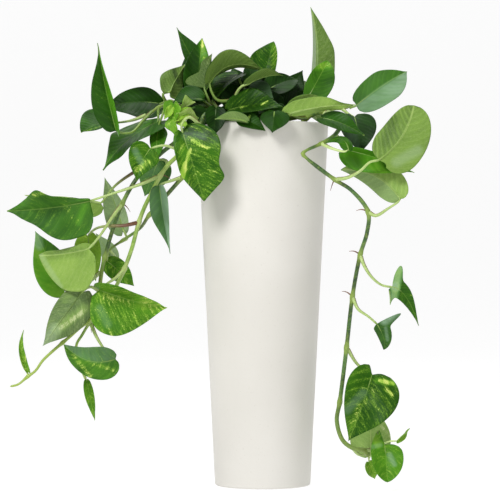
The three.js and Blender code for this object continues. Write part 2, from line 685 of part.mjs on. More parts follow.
// ---------------------------------------------------------------- pot and soil

function insideRadius(height) {
  const taper = (RIM_RADIUS - FOOT_RADIUS) / POT_HEIGHT;
  return FOOT_RADIUS + taper * height - POT_WALL;
}

function pot() {
  const outline = new THREE.Path();
  outline.moveTo(0, 0);
  outline.lineTo(FOOT_RADIUS - FOOT_ROUND, 0);
  outline.lineTo(FOOT_RADIUS, FOOT_ROUND);
  outline.lineTo(RIM_RADIUS, POT_HEIGHT - RIM_ROUND);
  outline.lineTo(RIM_RADIUS - RIM_ROUND, POT_HEIGHT);
  outline.lineTo(insideRadius(POT_HEIGHT) + RIM_ROUND / 2, POT_HEIGHT);
  outline.lineTo(insideRadius(POT_HEIGHT), POT_HEIGHT - RIM_ROUND);
  outline.lineTo(insideRadius(POT_FLOOR), POT_FLOOR);
  outline.lineTo(0, POT_FLOOR);
  const geometry = new THREE.LatheGeometry(outline.getPoints(), POT_SIDES);
  return solid(geometry.rotateX(Math.PI / 2));
}

function soil() {
  const low = POT_FLOOR + CLEARANCE;
  const high = POT_HEIGHT - SOIL_DROP;
  const gap = 2 * CLEARANCE;
  const outline = [
    new THREE.Vector2(0, low),
    new THREE.Vector2(insideRadius(low) - gap, low),
    new THREE.Vector2(insideRadius(high) - gap, high),
    new THREE.Vector2(insideRadius(high) / 2, high + SOIL_CROWN * 0.7),
    new THREE.Vector2(0, high + SOIL_CROWN),
  ];
  const geometry = new THREE.LatheGeometry(outline, SOIL_SIDES).rotateX(Math.PI / 2);
  return Object.values(stems).reduce((body, { socket }) => body.subtract(socket), solid(geometry));
}

parts.push({ name: 'pot', tone: 'pot', body: pot() });
parts.push({ name: 'soil', tone: 'soil', body: soil() });

// ---------------------------------------------------------------- the scene graph

const plant = new THREE.Group();
parts.forEach(({ name, tone, body }) => {
  const mesh = new THREE.Mesh(geometryOf(body), material(tone));
  mesh.name = name;
  plant.add(mesh);
});

export default plant;
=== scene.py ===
# %% [markdown]
# # A golden pothos in a tall white planter
# The plant is built leaf by leaf on the imported frame: the pot and the soil first, then
# the vines, then every leaf with its stalk and its veins. Each leaf is placed from this
# script's own tables and gets its real surface here, and the frame's solid for it is hidden.

# %% Open the frame
import math
import random
import bpy
import numpy as np
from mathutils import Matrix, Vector, noise


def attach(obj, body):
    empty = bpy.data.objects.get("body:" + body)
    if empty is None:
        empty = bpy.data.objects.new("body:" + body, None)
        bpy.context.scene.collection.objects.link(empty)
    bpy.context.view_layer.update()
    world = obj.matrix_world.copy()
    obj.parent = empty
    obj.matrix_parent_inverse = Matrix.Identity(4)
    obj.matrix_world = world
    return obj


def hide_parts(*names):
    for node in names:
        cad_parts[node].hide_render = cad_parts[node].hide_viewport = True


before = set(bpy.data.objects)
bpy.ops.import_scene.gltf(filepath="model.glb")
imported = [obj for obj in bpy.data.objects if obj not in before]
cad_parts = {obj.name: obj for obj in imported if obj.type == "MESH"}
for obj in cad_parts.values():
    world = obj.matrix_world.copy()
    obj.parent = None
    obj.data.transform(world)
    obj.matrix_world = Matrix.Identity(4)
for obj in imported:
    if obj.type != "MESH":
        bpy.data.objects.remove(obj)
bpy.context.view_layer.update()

MM = 0.001

# %% [markdown]
# ## How places are measured
# A place is given as it was read off a level picture of the plant: pixels across, pixels
# down, and millimetres behind (+) or in front of (-) the pot's middle line. Things nearer
# the eye look larger, so a pixel is worth a little less there.

# %% Measure places
POT_HEIGHT = 462
RIM_RADIUS = 84
FOOT_RADIUS = 61
POT_WALL = 6
POT_FLOOR = 12
SOIL_DROP = 15
SOIL_CROWN = 4
PIXEL = 1.25  # millimetres to a pixel at the pot's middle line
AXIS_PIXEL = 263
RIM_PIXEL = 121
VIEW_PIXEL = [250, 246]
VIEW_DISTANCE = 3000
EYE_X = (VIEW_PIXEL[0] - AXIS_PIXEL) * PIXEL
EYE_Z = POT_HEIGHT - (VIEW_PIXEL[1] - RIM_PIXEL) * PIXEL


def at(place):
    across, down, depth = place
    widen = (VIEW_DISTANCE + depth) / VIEW_DISTANCE
    x = EYE_X + (across - VIEW_PIXEL[0]) * PIXEL * widen
    z = EYE_Z - (down - VIEW_PIXEL[1]) * PIXEL * widen
    return np.array([x, depth, z], float)


def pixels_of(points):
    widen = (VIEW_DISTANCE + points[:, 1]) / VIEW_DISTANCE
    across = VIEW_PIXEL[0] + (points[:, 0] - EYE_X) / (PIXEL * widen)
    down = VIEW_PIXEL[1] - (points[:, 2] - EYE_Z) / (PIXEL * widen)
    return np.stack([across, down], axis=1)


def unit(v):
    return v / np.linalg.norm(v, axis=-1, keepdims=True)


print("rim, middle of the view:", at([AXIS_PIXEL, RIM_PIXEL, 0]))

# %% [markdown]
# ## Colours and a small kit for finishes
# A finish is a set of nodes. `Finish` keeps them short: `math`, `times`, `plus` and `mix`
# add one node each, and anything may be a number, a colour or another node's output.

# %% A kit for finishes


def colour(code, strength=1.0):
    """A colour as painters write it, #rrggbb, as the renderer needs it."""
    parts = [int(code[i:i + 2], 16) / 255 for i in (1, 3, 5)]
    line = [p / 12.92 if p <= 0.04045 else ((p + 0.055) / 1.055) ** 2.4 for p in parts]
    return (*[v * strength for v in line], 1.0)


class Finish:
    def __init__(self, name):
        self.material = bpy.data.materials.new(name)
        self.material.use_nodes = True
        self.nodes = self.material.node_tree.nodes
        self.links = self.material.node_tree.links
        self.shader = self.nodes["Principled BSDF"]

    def put(self, socket, value):
        if isinstance(value, bpy.types.NodeSocket):
            self.links.new(value, socket)
        else:
            socket.default_value = colour(value) if isinstance(value, str) else value

    def add(self, kind, *values):
        """A new node of a kind, with values for its first inputs."""
        node = self.nodes.new("ShaderNode" + kind)
        for socket, value in zip(node.inputs, values):
            self.put(socket, value)
        return node

    def math(self, kind, a, b=0.0, c=0.0):
        node = self.add("Math", a, b, c)
        node.operation = kind
        return node.outputs[0]

    def times(self, a, b):
        return self.math("MULTIPLY", a, b)

    def plus(self, a, b):
        return self.math("ADD", a, b)

    def mix(self, amount, a, b):
        node = self.add("Mix", amount)
        node.data_type = "RGBA"
        self.put(node.inputs[6], a)
        self.put(node.inputs[7], b)
        return node.outputs[2]

    def ramp(self, value, low, high, to_low=0.0, to_high=1.0):
        """Smoothly from to_low, where value is low, to to_high, where it is high."""
        node = self.add("MapRange", value, low, high, to_low, to_high)
        node.interpolation_type = "SMOOTHSTEP"
        return node.outputs[0]

    def own(self, name, part="Fac"):
        """A value that the piece carries on its points."""
        node = self.add("Attribute")
        node.attribute_name = name
        return node.outputs[part]

    def noise(self, where, scale, detail=2.0, rough=0.5):
        node = self.add("TexNoise", where)
        for name, value in (("Scale", scale), ("Detail", detail), ("Roughness", rough)):
            node.inputs[name].default_value = value
        return node.outputs["Fac"]

    def place(self):
        return self.add("TexCoord").outputs["Object"]

    def relief(self, height, depth):
        """Bumps `depth` millimetres deep where height goes from 0 to 1."""
        node = self.add("Bump")
        node.inputs["Distance"].default_value = depth * MM
        self.put(node.inputs["Height"], height)
        self.put(self.shader.inputs["Normal"], node.outputs[0])

    def set(self, **values):
        for name, value in values.items():
            self.put(self.shader.inputs[name.replace("_", " ").title().replace("Ior", "IOR")], value)


print("kit ready")

# %% [markdown]
# ## A leaf's ground, veins and flecks
# A pothos leaf is waxy. Its ground colour drifts from deep to fresh green, its side veins
# run forward from the midrib and show as faint lines, and a golden plant has cream and
# yellow flecks that are drawn out along those veins. Each leaf carries its own values:
# `tone` from dark to bright, its own green with painted light and shade in it, `cream`
# for the flecks, `sheen` for a painted grey sheen, a painted reflection on the wax,
# `bands` for painted light and shade in stripes along the side veins, and `seed`, so
# that no two leaves share one pattern.

# %% A kit for leaves
LEAF_GLOSS = 0.12  # a leaf's wax shines less than glass


class LeafFinish(Finish):
    def __init__(self, name, tone_name, stops, spread):
        """The ground colour comes from the leaf's own tone with a slow drift over it."""
        super().__init__(name)
        self.across, self.along, _ = self.add("SeparateXYZ", self.own("veins", "Vector")).outputs
        self.seed = self.own("seed")
        drift = self.cloud(1.0, 3.0, 0.5, 0.22, 0.3)
        tone = self.plus(self.own(tone_name), self.math("MULTIPLY_ADD", drift, spread, -spread / 2))
        band = self.add("ValToRGB")
        for index, code in enumerate(stops):
            place = index / (len(stops) - 1)
            stop = band.color_ramp.elements[index] if index < 2 else band.color_ramp.elements.new(place)
            stop.position = place
            stop.color = colour(code)
        self.size = self.math("ABSOLUTE", self.across)
        self.side = self.math("ABSOLUTE", self.math("PINGPONG", self.plus(self.along, 100.0), 0.5))
        # Painted light and shade: `bands` lightens the ground along the side veins and darkens it between
        # them, in patches
        shade = self.times(self.math("SUBTRACT", self.ramp(self.side, 0.05, 0.42), 0.5), self.own("bands"))
        shade = self.times(shade, self.ramp(self.cloud(0.7, 3.0), 0.3, 0.65, 0.1, 1.0))
        self.put(band.inputs[0], self.math("SUBTRACT", tone, self.times(shade, 0.3)))
        self.ground = band.outputs[0]
        self.shader.inputs["Specular IOR Level"].default_value = LEAF_GLOSS

    def cloud(self, scale, detail=2.0, rough=0.5, across=1.0, along=1.0):
        """Noise in the leaf's own directions, as dense across and along its veins as given."""
        place = self.times(self.across, across), self.times(self.along, along), self.seed
        where = self.add("CombineXYZ", *place)
        return self.noise(where.outputs[0], scale, detail, rough)

    def flecks(self):
        """Streaks along the side veins, their crisp pale cores, and the marbling round them."""
        streak = self.cloud(1.1, 5.0, 0.66, 0.55, 1.7)
        fleck = self.cloud(2.2, 4.0, 0.62, 2.6, 3.8)
        cream = self.own("cream")
        level = self.math("SUBTRACT", 0.72, self.times(cream, 0.38))
        over = self.math("SUBTRACT", self.plus(self.times(streak, 0.55), self.times(fleck, 0.45)), level)
        shown = self.times(self.ramp(over, 0.0, 0.08), self.ramp(cream, 0.0, 0.05))
        marble = self.times(self.ramp(over, -0.11, 0.02, 0.0, 0.55), self.ramp(cream, 0.05, 0.4))
        return streak, shown, marble


print("kit ready for leaves")

# %% [markdown]
# ## The leaf's upper face
# On the upper face the veins are pale and flat, the flecks lie over the marbling, and a
# painted grey sheen, a painted reflection, lies over them all.

# %% Finish of the upper face
DEEP_GREEN = "#0f2706"
LEAF_GREEN = "#28540f"
FRESH_GREEN = "#4d891b"
LIME_GREEN = "#93bd40"
CREAM = "#dde77c"
# painted reflection: the grey of a sheen on the wax
GREY_SHEEN = "#93b393"


def upper_face():
    f = LeafFinish("leaf_upper_face", "tone", [DEEP_GREEN, LEAF_GREEN, FRESH_GREEN, LIME_GREEN], 0.42)
    streak, shown, marble = f.flecks()
    pale = f.mix(f.ramp(f.cloud(0.8), 0.35, 0.65), LIME_GREEN, CREAM)
    painted = f.mix(marble, f.ground, "#74a32b")
    painted = f.mix(f.times(shown, 0.9), painted, pale)
    faint = f.ramp(f.cloud(0.9), 0.35, 0.65, 0.2, 1.0)
    shows = f.ramp(f.own("tone"), 0.1, 0.6, 0.12, 1.0)
    vein = f.times(f.times(f.ramp(f.side, 0.0, 0.08, 0.2, 0.0), faint), shows)
    rib = f.times(f.ramp(f.size, 0.03, 0.12, 0.45, 0.0), shows)
    painted = f.mix(vein, painted, "#6f9638")
    painted = f.mix(rib, painted, "#86a948")
    # painted reflection: a grey sheen where the leaf's `sheen` is high
    grey = f.times(f.own("sheen"), f.ramp(f.cloud(0.35), 0.3, 0.7, 0.6, 1.0))
    painted = f.mix(grey, painted, GREY_SHEEN)
    f.set(base_color=painted, roughness=f.ramp(streak, 0.3, 0.7, 0.34, 0.46), ior=1.45)
    fine = f.noise(f.place(), 900.0, 3.0)
    f.relief(f.plus(f.ramp(f.side, 0.0, 0.3), f.times(fine, 0.15)), 0.08)
    return f.material


UPPER = upper_face()
print("finish:", UPPER.name)

# %% [markdown]
# ## The leaf's underside
# The underside is paler and duller, because it has no wax on it. Its midrib and side
# veins stand out as ridges, lighter than the green between them.

# %% Finish of the underside
UNDER_STOPS = ["#2c4718", "#52702b", "#7a9c41", "#a2c25c"]


def underside():
    f = LeafFinish("leaf_underside", "under", UNDER_STOPS, 0.34)
    faint = f.ramp(f.cloud(0.8), 0.3, 0.7, 0.3, 1.0)
    vein = f.times(f.ramp(f.side, 0.0, 0.1, 0.17, 0.0), faint)
    shows = f.ramp(f.own("under"), 0.1, 0.6, 0.3, 1.0)
    painted = f.mix(vein, f.ground, "#a5c069")
    painted = f.mix(f.times(f.ramp(f.size, 0.06, 0.2, 0.55, 0.0), shows), painted, "#afc873")
    _, shown, marble = f.flecks()
    painted = f.mix(f.times(marble, 0.7), painted, "#9db465")
    painted = f.mix(f.times(shown, 0.6), painted, "#dfe5b0")
    # painted reflection: a grey sheen where the leaf's `sheen` is high
    painted = f.mix(f.times(f.own("sheen"), 0.8), painted, "#a9bf9c")
    net = f.cloud(2.0, 4.0, 0.5, 2.0, 5.0)
    f.set(base_color=f.mix(f.ramp(net, 0.4, 0.7, 0.0, 0.12), painted, "#cfe0a2"), roughness=0.5)
    f.relief(f.plus(f.ramp(f.side, 0.0, 0.25, 1.0, 0.0), f.times(net, 0.35)), 0.16)
    return f.material


UNDER = underside()
print("finish:", UNDER.name)

# %% [markdown]
# ## Stalks, vines, roots and sheaths
# Young stalks are lime and shiny. The vines are mid green with lengthwise streaks and turn
# yellow-green at each joint. Aerial roots and dry leaf sheaths are brown and papery.

# %% Finishes of the stems


def stem_finish(name, dark, light, joint, rough):
    f = Finish(name)
    streak = f.noise(f.place(), 260.0, 3.0, 0.6)
    ground = f.mix(f.ramp(f.noise(f.place(), 35.0, 3.0), 0.35, 0.65), dark, light)
    ground = f.mix(f.ramp(streak, 0.45, 0.7, 0.0, 0.35), ground, joint)
    f.set(base_color=f.mix(f.own("joint"), ground, joint), roughness=rough)
    f.relief(streak, 0.25)
    return f.material


def stalk_finish():
    """From dark olive to lime by the stalk's own tone, browner where `joint` is high."""
    f = Finish("leaf_stalk")
    streak = f.noise(f.place(), 240.0, 3.0, 0.6)
    tone = f.plus(f.own("tone"), f.math("MULTIPLY_ADD", streak, 0.3, -0.15))
    ground = f.mix(f.ramp(tone, 0.0, 0.5), "#3a5520", "#7c9c41")
    ground = f.mix(f.ramp(tone, 0.45, 1.0), ground, "#c6da8e")
    f.set(base_color=f.mix(f.own("joint"), ground, "#6e4a34"), roughness=0.4)
    f.relief(streak, 0.15)
    return f.material


STALK = stalk_finish()
VINE_LIGHT = stem_finish("vine_light", "#7ba03f", "#a4c45a", "#c9d68a", 0.36)
VINE_DARK = stem_finish("vine_dark", "#27441a", "#476f35", "#9db54e", 0.38)
ROOT = stem_finish("aerial_root", "#5a3a28", "#7f5843", "#a28463", 0.7)
SHEATH = stem_finish("dry_sheath", "#573c24", "#866540", "#a88b60", 0.75)
print("stem finishes:", 5)

# %% [markdown]
# ## The pot
# A tall planter is cast and glazed matt white. It starts as a 128-sided cylinder: the top
# ring is spread to the rim's width, the top face is let in by the wall's thickness and
# pushed down to the floor, and a bevel rounds the lip and the foot.

# %% Make the pot
POT_SIDES = 128
RIM_ROUND = 2.5


def start_fresh():
    if bpy.context.object and bpy.context.object.mode != "OBJECT":
        bpy.ops.object.mode_set(mode="OBJECT")
    bpy.ops.object.select_all(action="DESELECT")


def link(name, data):
    piece = bpy.data.objects.new(name, data)
    bpy.context.collection.objects.link(piece)
    return piece


def only_finish(piece, finish):
    piece.data.materials.clear()
    piece.data.materials.append(finish)


def hand_over(piece, name, slot, *nodes):
    """Names a finished piece, hangs it on the root body and hides the frame's parts it stands for."""
    piece.name = name
    piece.data.name = name
    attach(piece, "root")
    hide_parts(*nodes)


def matt_ceramic():
    f = Finish("matt_ceramic")
    where = f.place()
    cloud = f.noise(where, 6.0, 4.0)
    ground = f.mix(f.ramp(cloud, 0.3, 0.7), "#d6d3cb", "#dfdcd5")
    ground = f.mix(f.ramp(f.noise(where, 420.0), 0.66, 0.74, 0.0, 0.25), ground, "#bdb7aa")
    f.set(base_color=ground, roughness=f.ramp(cloud, 0.3, 0.7, 0.42, 0.55))
    f.relief(f.noise(where, 160.0, 4.0), 0.12)
    return f.material


def ring_radius(height):
    return FOOT_RADIUS + (RIM_RADIUS - FOOT_RADIUS) * height / POT_HEIGHT


start_fresh()
bpy.ops.mesh.primitive_cylinder_add(vertices=POT_SIDES, radius=FOOT_RADIUS * MM, depth=POT_HEIGHT * MM)
pot = bpy.context.object
for vertex in pot.data.vertices:
    vertex.co.z += POT_HEIGHT / 2 * MM
bpy.ops.object.mode_set(mode="EDIT")
bpy.ops.mesh.select_all(action="DESELECT")
bpy.ops.object.mode_set(mode="OBJECT")
for face in pot.data.polygons:
    face.select = face.normal.z > 0.9
bpy.ops.object.mode_set(mode="EDIT")
rim_scale = RIM_RADIUS / FOOT_RADIUS
bpy.ops.transform.resize(value=(rim_scale, rim_scale, 1), center_override=(0, 0, 0))
bpy.ops.mesh.inset(thickness=POT_WALL * MM)
bpy.ops.mesh.extrude_region_move(
    TRANSFORM_OT_translate={"value": (0, 0, -(POT_HEIGHT - POT_FLOOR) * MM)})
floor_scale = (ring_radius(POT_FLOOR) - POT_WALL) / (RIM_RADIUS - POT_WALL)
bpy.ops.transform.resize(value=(floor_scale, floor_scale, 1), center_override=(0, 0, 0))
bpy.ops.object.mode_set(mode="OBJECT")
bevel = pot.modifiers.new("round lip and foot", "BEVEL")
bevel.width = RIM_ROUND * MM
bevel.segments = 5
bevel.limit_method = "ANGLE"
bevel.angle_limit = math.radians(50)
bpy.ops.object.modifier_apply(modifier=bevel.name)
bpy.ops.object.shade_smooth_by_angle(angle=math.radians(40))
only_finish(pot, matt_ceramic())
hand_over(pot, "pot_planter", "pot", "pot")
print("pot:", [round(v / MM, 1) for v in pot.dimensions], "mm,", len(pot.data.polygons), "faces")

# %% [markdown]
# ## The soil
# Potting soil settles into a low mound that dips at the wall. A square grid is pressed
# into a round one, lumps are raised on it, and the sheet is given depth downwards.

# %% Make the soil
SOIL_CELLS = 120
SOIL_DEPTH = 26
SOIL_GAP = 0.6
SOIL_FOOT = 0.97  # how wide the sheet's underside is, against its top
SOIL_SINK = 1.5  # the lumps start a little below the mound
LUMP_HEIGHT = 2.0
LUMP_SIZE = 9
GRAIN_SIZE = 3
soil_radius = ring_radius(POT_HEIGHT - SOIL_DROP) - POT_WALL - SOIL_GAP


def soil_height(x, y):
    out = min(1.0, math.hypot(x, y) / soil_radius)
    return POT_HEIGHT - SOIL_DROP + SOIL_CROWN * (1 - out * out)


def dark_soil():
    f = Finish("potting_soil")
    where = f.place()
    clump = f.noise(where, 90.0, 5.0, 0.65)
    grain = f.noise(where, 700.0, 3.0)
    ground = f.mix(f.ramp(clump, 0.35, 0.65), "#20160f", "#4a3524")
    ground = f.mix(f.ramp(grain, 0.6, 0.75, 0.0, 0.5), ground, "#6e563c")
    f.set(base_color=ground, roughness=0.95)
    f.relief(f.plus(clump, f.times(grain, 0.4)), 1.6)
    return f.material


start_fresh()
bpy.ops.mesh.primitive_grid_add(x_subdivisions=SOIL_CELLS, y_subdivisions=SOIL_CELLS, size=2)
soil = bpy.context.object
for vertex in soil.data.vertices:
    u, v = vertex.co.x, vertex.co.y
    x = u * math.sqrt(1 - v * v / 2) * soil_radius
    y = v * math.sqrt(1 - u * u / 2) * soil_radius
    lump = LUMP_HEIGHT * noise.noise(Vector((x, y, 3)) / LUMP_SIZE)
    z = soil_height(x, y) - SOIL_SINK + lump + noise.noise(Vector((x, y, 9)) / GRAIN_SIZE)
    vertex.co = Vector((x, y, z)) * MM
surface = [vertex.co.copy() for vertex in soil.data.vertices]
depth = soil.modifiers.new("depth of soil", "SOLIDIFY")
depth.thickness = SOIL_DEPTH * MM
depth.offset = -1
bpy.ops.object.modifier_apply(modifier=depth.name)
for vertex, above in zip(soil.data.vertices[len(surface):], surface):
    vertex.co = (above.x * SOIL_FOOT, above.y * SOIL_FOOT, (POT_HEIGHT - SOIL_DROP - SOIL_DEPTH) * MM)
bpy.ops.object.shade_smooth_by_angle(angle=math.radians(50))
only_finish(soil, dark_soil())
hand_over(soil, "soil_mound", "soil", "soil")
print("soil:", [round(v / MM, 1) for v in soil.dimensions], "mm")

# %% [markdown]
# ## Crumbs on the soil
# Bark chips, soil crumbs and white perlite lie on top. One stone is modelled for each
# sort, then copied, turned and resized by a seeded draw, and the copies are joined.

# %% Scatter crumbs
draw = random.Random(41)
STONE_LUMPS = 0.45  # how much a stone differs from a ball
CRUMB_REACH = 0.95  # of the way to the wall
CRUMB_SINK = 0.6
CRUMBS = [  # name, how many, the smallest and the largest radius, the darkest and the lightest colour
    ("bark_chips", 70, (1.6, 3.6), "#5a3d25", "#8a6540"),
    ("soil_crumbs", 160, (0.9, 2.4), "#2a1c12", "#4d3826"),
    ("perlite", 45, (0.8, 1.7), "#d8d4c8", "#efece2"),
]
for name, count, (small, large), dark, light in CRUMBS:
    start_fresh()
    bpy.ops.mesh.primitive_ico_sphere_add(subdivisions=2, radius=1)
    stone = bpy.context.object
    for vertex in stone.data.vertices:
        vertex.co *= 1 + STONE_LUMPS * noise.noise(vertex.co * 1.4 + Vector((count, 0, 0)))
    shape = np.array([v.co for v in stone.data.vertices])
    corners, faces = [], []
    triangles = [tuple(p.vertices) for p in stone.data.polygons]
    bpy.data.objects.remove(stone)
    for _ in range(count):
        out = soil_radius * CRUMB_REACH * math.sqrt(draw.random())
        turn = draw.uniform(0, 2 * math.pi)
        x, y = out * math.cos(turn), out * math.sin(turn)
        size = draw.uniform(small, large)
        flat = draw.uniform(0.35, 0.8)
        spin = draw.uniform(0, 2 * math.pi)
        cells = shape * [size, size * draw.uniform(0.5, 1), size * flat]
        c, s = math.cos(spin), math.sin(spin)
        cells = cells @ np.array([[c, s, 0], [-s, c, 0], [0, 0, 1]])
        cells += [x, y, soil_height(x, y) - CRUMB_SINK + size * flat * 0.3]
        faces += [tuple(len(corners) + i for i in t) for t in triangles]
        corners += [tuple(p) for p in cells * MM]
    mesh = bpy.data.meshes.new(name)
    mesh.from_pydata(corners, [], faces)
    heap = link(name, mesh)
    f = Finish(name)
    f.set(base_color=f.mix(f.noise(f.place(), 300.0, 4.0), dark, light), roughness=0.85)
    f.relief(f.noise(f.place(), 900.0, 4.0), 0.4)
    only_finish(heap, f.material)
    hand_over(heap, name, "soil")
    print(name, count)

# %% [markdown]
# ## The stems' routes
# Each stem is a path of places from the soil outwards. Its joints, where leaves and
# aerial roots grow, are numbered along that path. `thin` gives places where the stem is
# thinner by a share, and `glow` how yellow-green it is at shares of its length.

# %% Routes of the stems
VINE_RADIUS = 2.8
SPRIG_RADIUS = 2.5
YOUNG_STALK = 1.2
STALK_RADIUS = 1.6
STEMS = dict(
    vine_right=dict(path=[[296, 153, -20], [298, 133, -20], [308, 115, -28], [329, 109, -44],
        [343, 119, -60], [338, 131, -72], [323, 141, -84], [308, 148, -94], [304, 151.5, -97],
        [308, 156, -95], [337, 178, -86], [354, 189, -80], [371, 211, -74], [370, 232, -70],
        [363, 255, -68], [355, 298, -64], [349, 350, -62], [342, 406, -60], [339, 425, -58],
        [345, 445, -56], [355, 453, -54], [368, 456, -52], [372, 462, -50]],
        joints=[2, 3, 6, 8, 10, 12, 14, 15, 16, 17, 21, 22],
        thin=[(6, 0.25), (7, 0.25), (9, 0.2), (10, 0.15), (11, 0.1)], end=1.0, roots=[[12, [-1, 0.1, 0.1]],
        [14, [-1, 0.2, 0.3]], [15, [-1, 0.2, 0.5]], [10, [-0.4, 0.2, -1]]],
        glow=[(0, 0.1), (0.3, 0), (0.8, 0), (0.86, 0.25), (1, 0.5)]),
    vine_left_light=dict(path=[[224, 153, -26], [223, 133, -26], [213, 115, -36], [197, 111, -52],
        [189, 124, -62], [185, 140, -60], [177, 152, -54], [166, 163, -48], [158, 174, -44],
        [150, 190, -42], [142, 206, -40], [136, 222, -38], [129, 248, -38], [121, 270, -36],
        [110, 292, -18], [96, 312, -12], [86, 324, -12], [78, 337, -14], [72, 348, -12], [75, 368, -12],
        [82, 383, -20]], joints=[8, 11, 13, 16, 20], roots=[[8, [0.6, 0.3, -0.2]], [16, [0.1, 0.4, -1]]]),
    vine_left_dark=dict(path=[[218, 153, -8], [217, 133, -8], [208, 116, -18], [196, 110, -34],
        [186, 122, -40], [176, 137, -34], [160, 150, -24], [147, 162, -22], [133, 178, -26],
        [119, 203, -26], [109, 230, -24], [101, 258, -24], [98, 272, -24], [95, 292, -26], [87, 320, -30],
        [75, 330, -32], [64, 340, -34], [58, 345, -36], [38, 363, -38], [30, 374, -40], [22, 380, -40],
        [12, 388, -42], [4, 390, -44]], joints=[7, 9, 11, 17, 20], roots=[[9, [0.7, 0.3, -0.7]]],
        glow=[(0, 0), (0.58, 0.05), (0.64, 0.8), (0.85, 0.9), (1, 1)]),
    vine_left_short=dict(path=[[232, 153, -40], [231, 133, -40], [222, 115, -56], [206, 110, -72],
        [199, 122, -88], [196, 145, -76], [189, 164, -66], [180, 176, -60], [160, 199, -54],
        [147, 214, -50], [137, 228, -22], [120, 240, -12], [106, 250, -8], [103, 256, -8]],
        joints=[7, 9, 11, 13], glow=[(0, 0), (0.6, 0.1), (1, 0.3)]),
    stem_left=dict(path=[[211, 153, 12], [210, 133, 12], [203, 116, 10], [190, 106, 6], [176, 102, 0],
        [165, 101, -6], [156, 104, -10], [149, 109, -14], [143, 112, -20]], joints=[3, 4, 5, 6, 7]),
    stem_right=dict(path=[[300, 153, 12], [301, 133, 12], [306, 114, 6], [316, 107, 0], [332, 106, -2],
        [344, 105, -4], [352, 104, -4]], joints=[2, 3, 4, 5]),
    sprig_centre_left=dict(path=[[236, 153, 2], [235, 133, 2], [224, 114, -6], [211, 104, -18],
        [200, 102, -42], [188, 106, -66]]),
    sprig_centre=dict(path=[[252, 153, -16], [251, 133, -16], [247, 116, -26], [240, 103, -38],
        [234, 97, -44]]),
    sprig_centre_right=dict(path=[[272, 153, 0], [272, 133, 0], [270, 116, -2], [267, 102, -4],
        [264, 92, -2]]),
    sprig_back=dict(path=[[264, 153, 42], [264, 133, 42], [262, 114, 50], [258, 98, 58], [252, 88, 60]]),
)
print("stems:", len(STEMS))

# %% [markdown]
# ## Places and looks of the single leaves
# Each leaf names its stem and joint, the widths of its blade's left and right half in
# millimetres, and the way its face looks. Then come the places along its stalk, and the
# blade's base and tip. The rest says how it differs from an ordinary leaf. One number
# stands for both halves, and three or more run from the stalk to the tip. `tone` goes
# from 0, dark, to 1, lime, and `under` is the same for the underside; both hold the
# leaf's own green and also painted light and shade, lighter where a leaf is lit and
# darker where it lies in shade. `sheen` is a painted grey reflection. A stroke adds an
# amount to tone, under, cream or sheen along a line from one pixel to another, with a
# brush of some pixels; strokes on sheen are painted highlights, and some strokes that
# lower tone or under paint shade in a crease or along an edge. A bulge widens or narrows
# one half, 0 left or 1 right, around a station.

# %% Single leaves


def leaf(joint, half, face, *route, like={}, **own):
    """A leaf by its joint, its half widths, its face and the route of its stalk, base and tip."""
    *via, base, tip = route
    return {**like, **own, "joint": joint, "half": half, "face": face, "via": via, "base": base, "tip": tip}


def leaf_on(stem, *shape, **own):
    return leaf(*shape, stem=stem, **own)


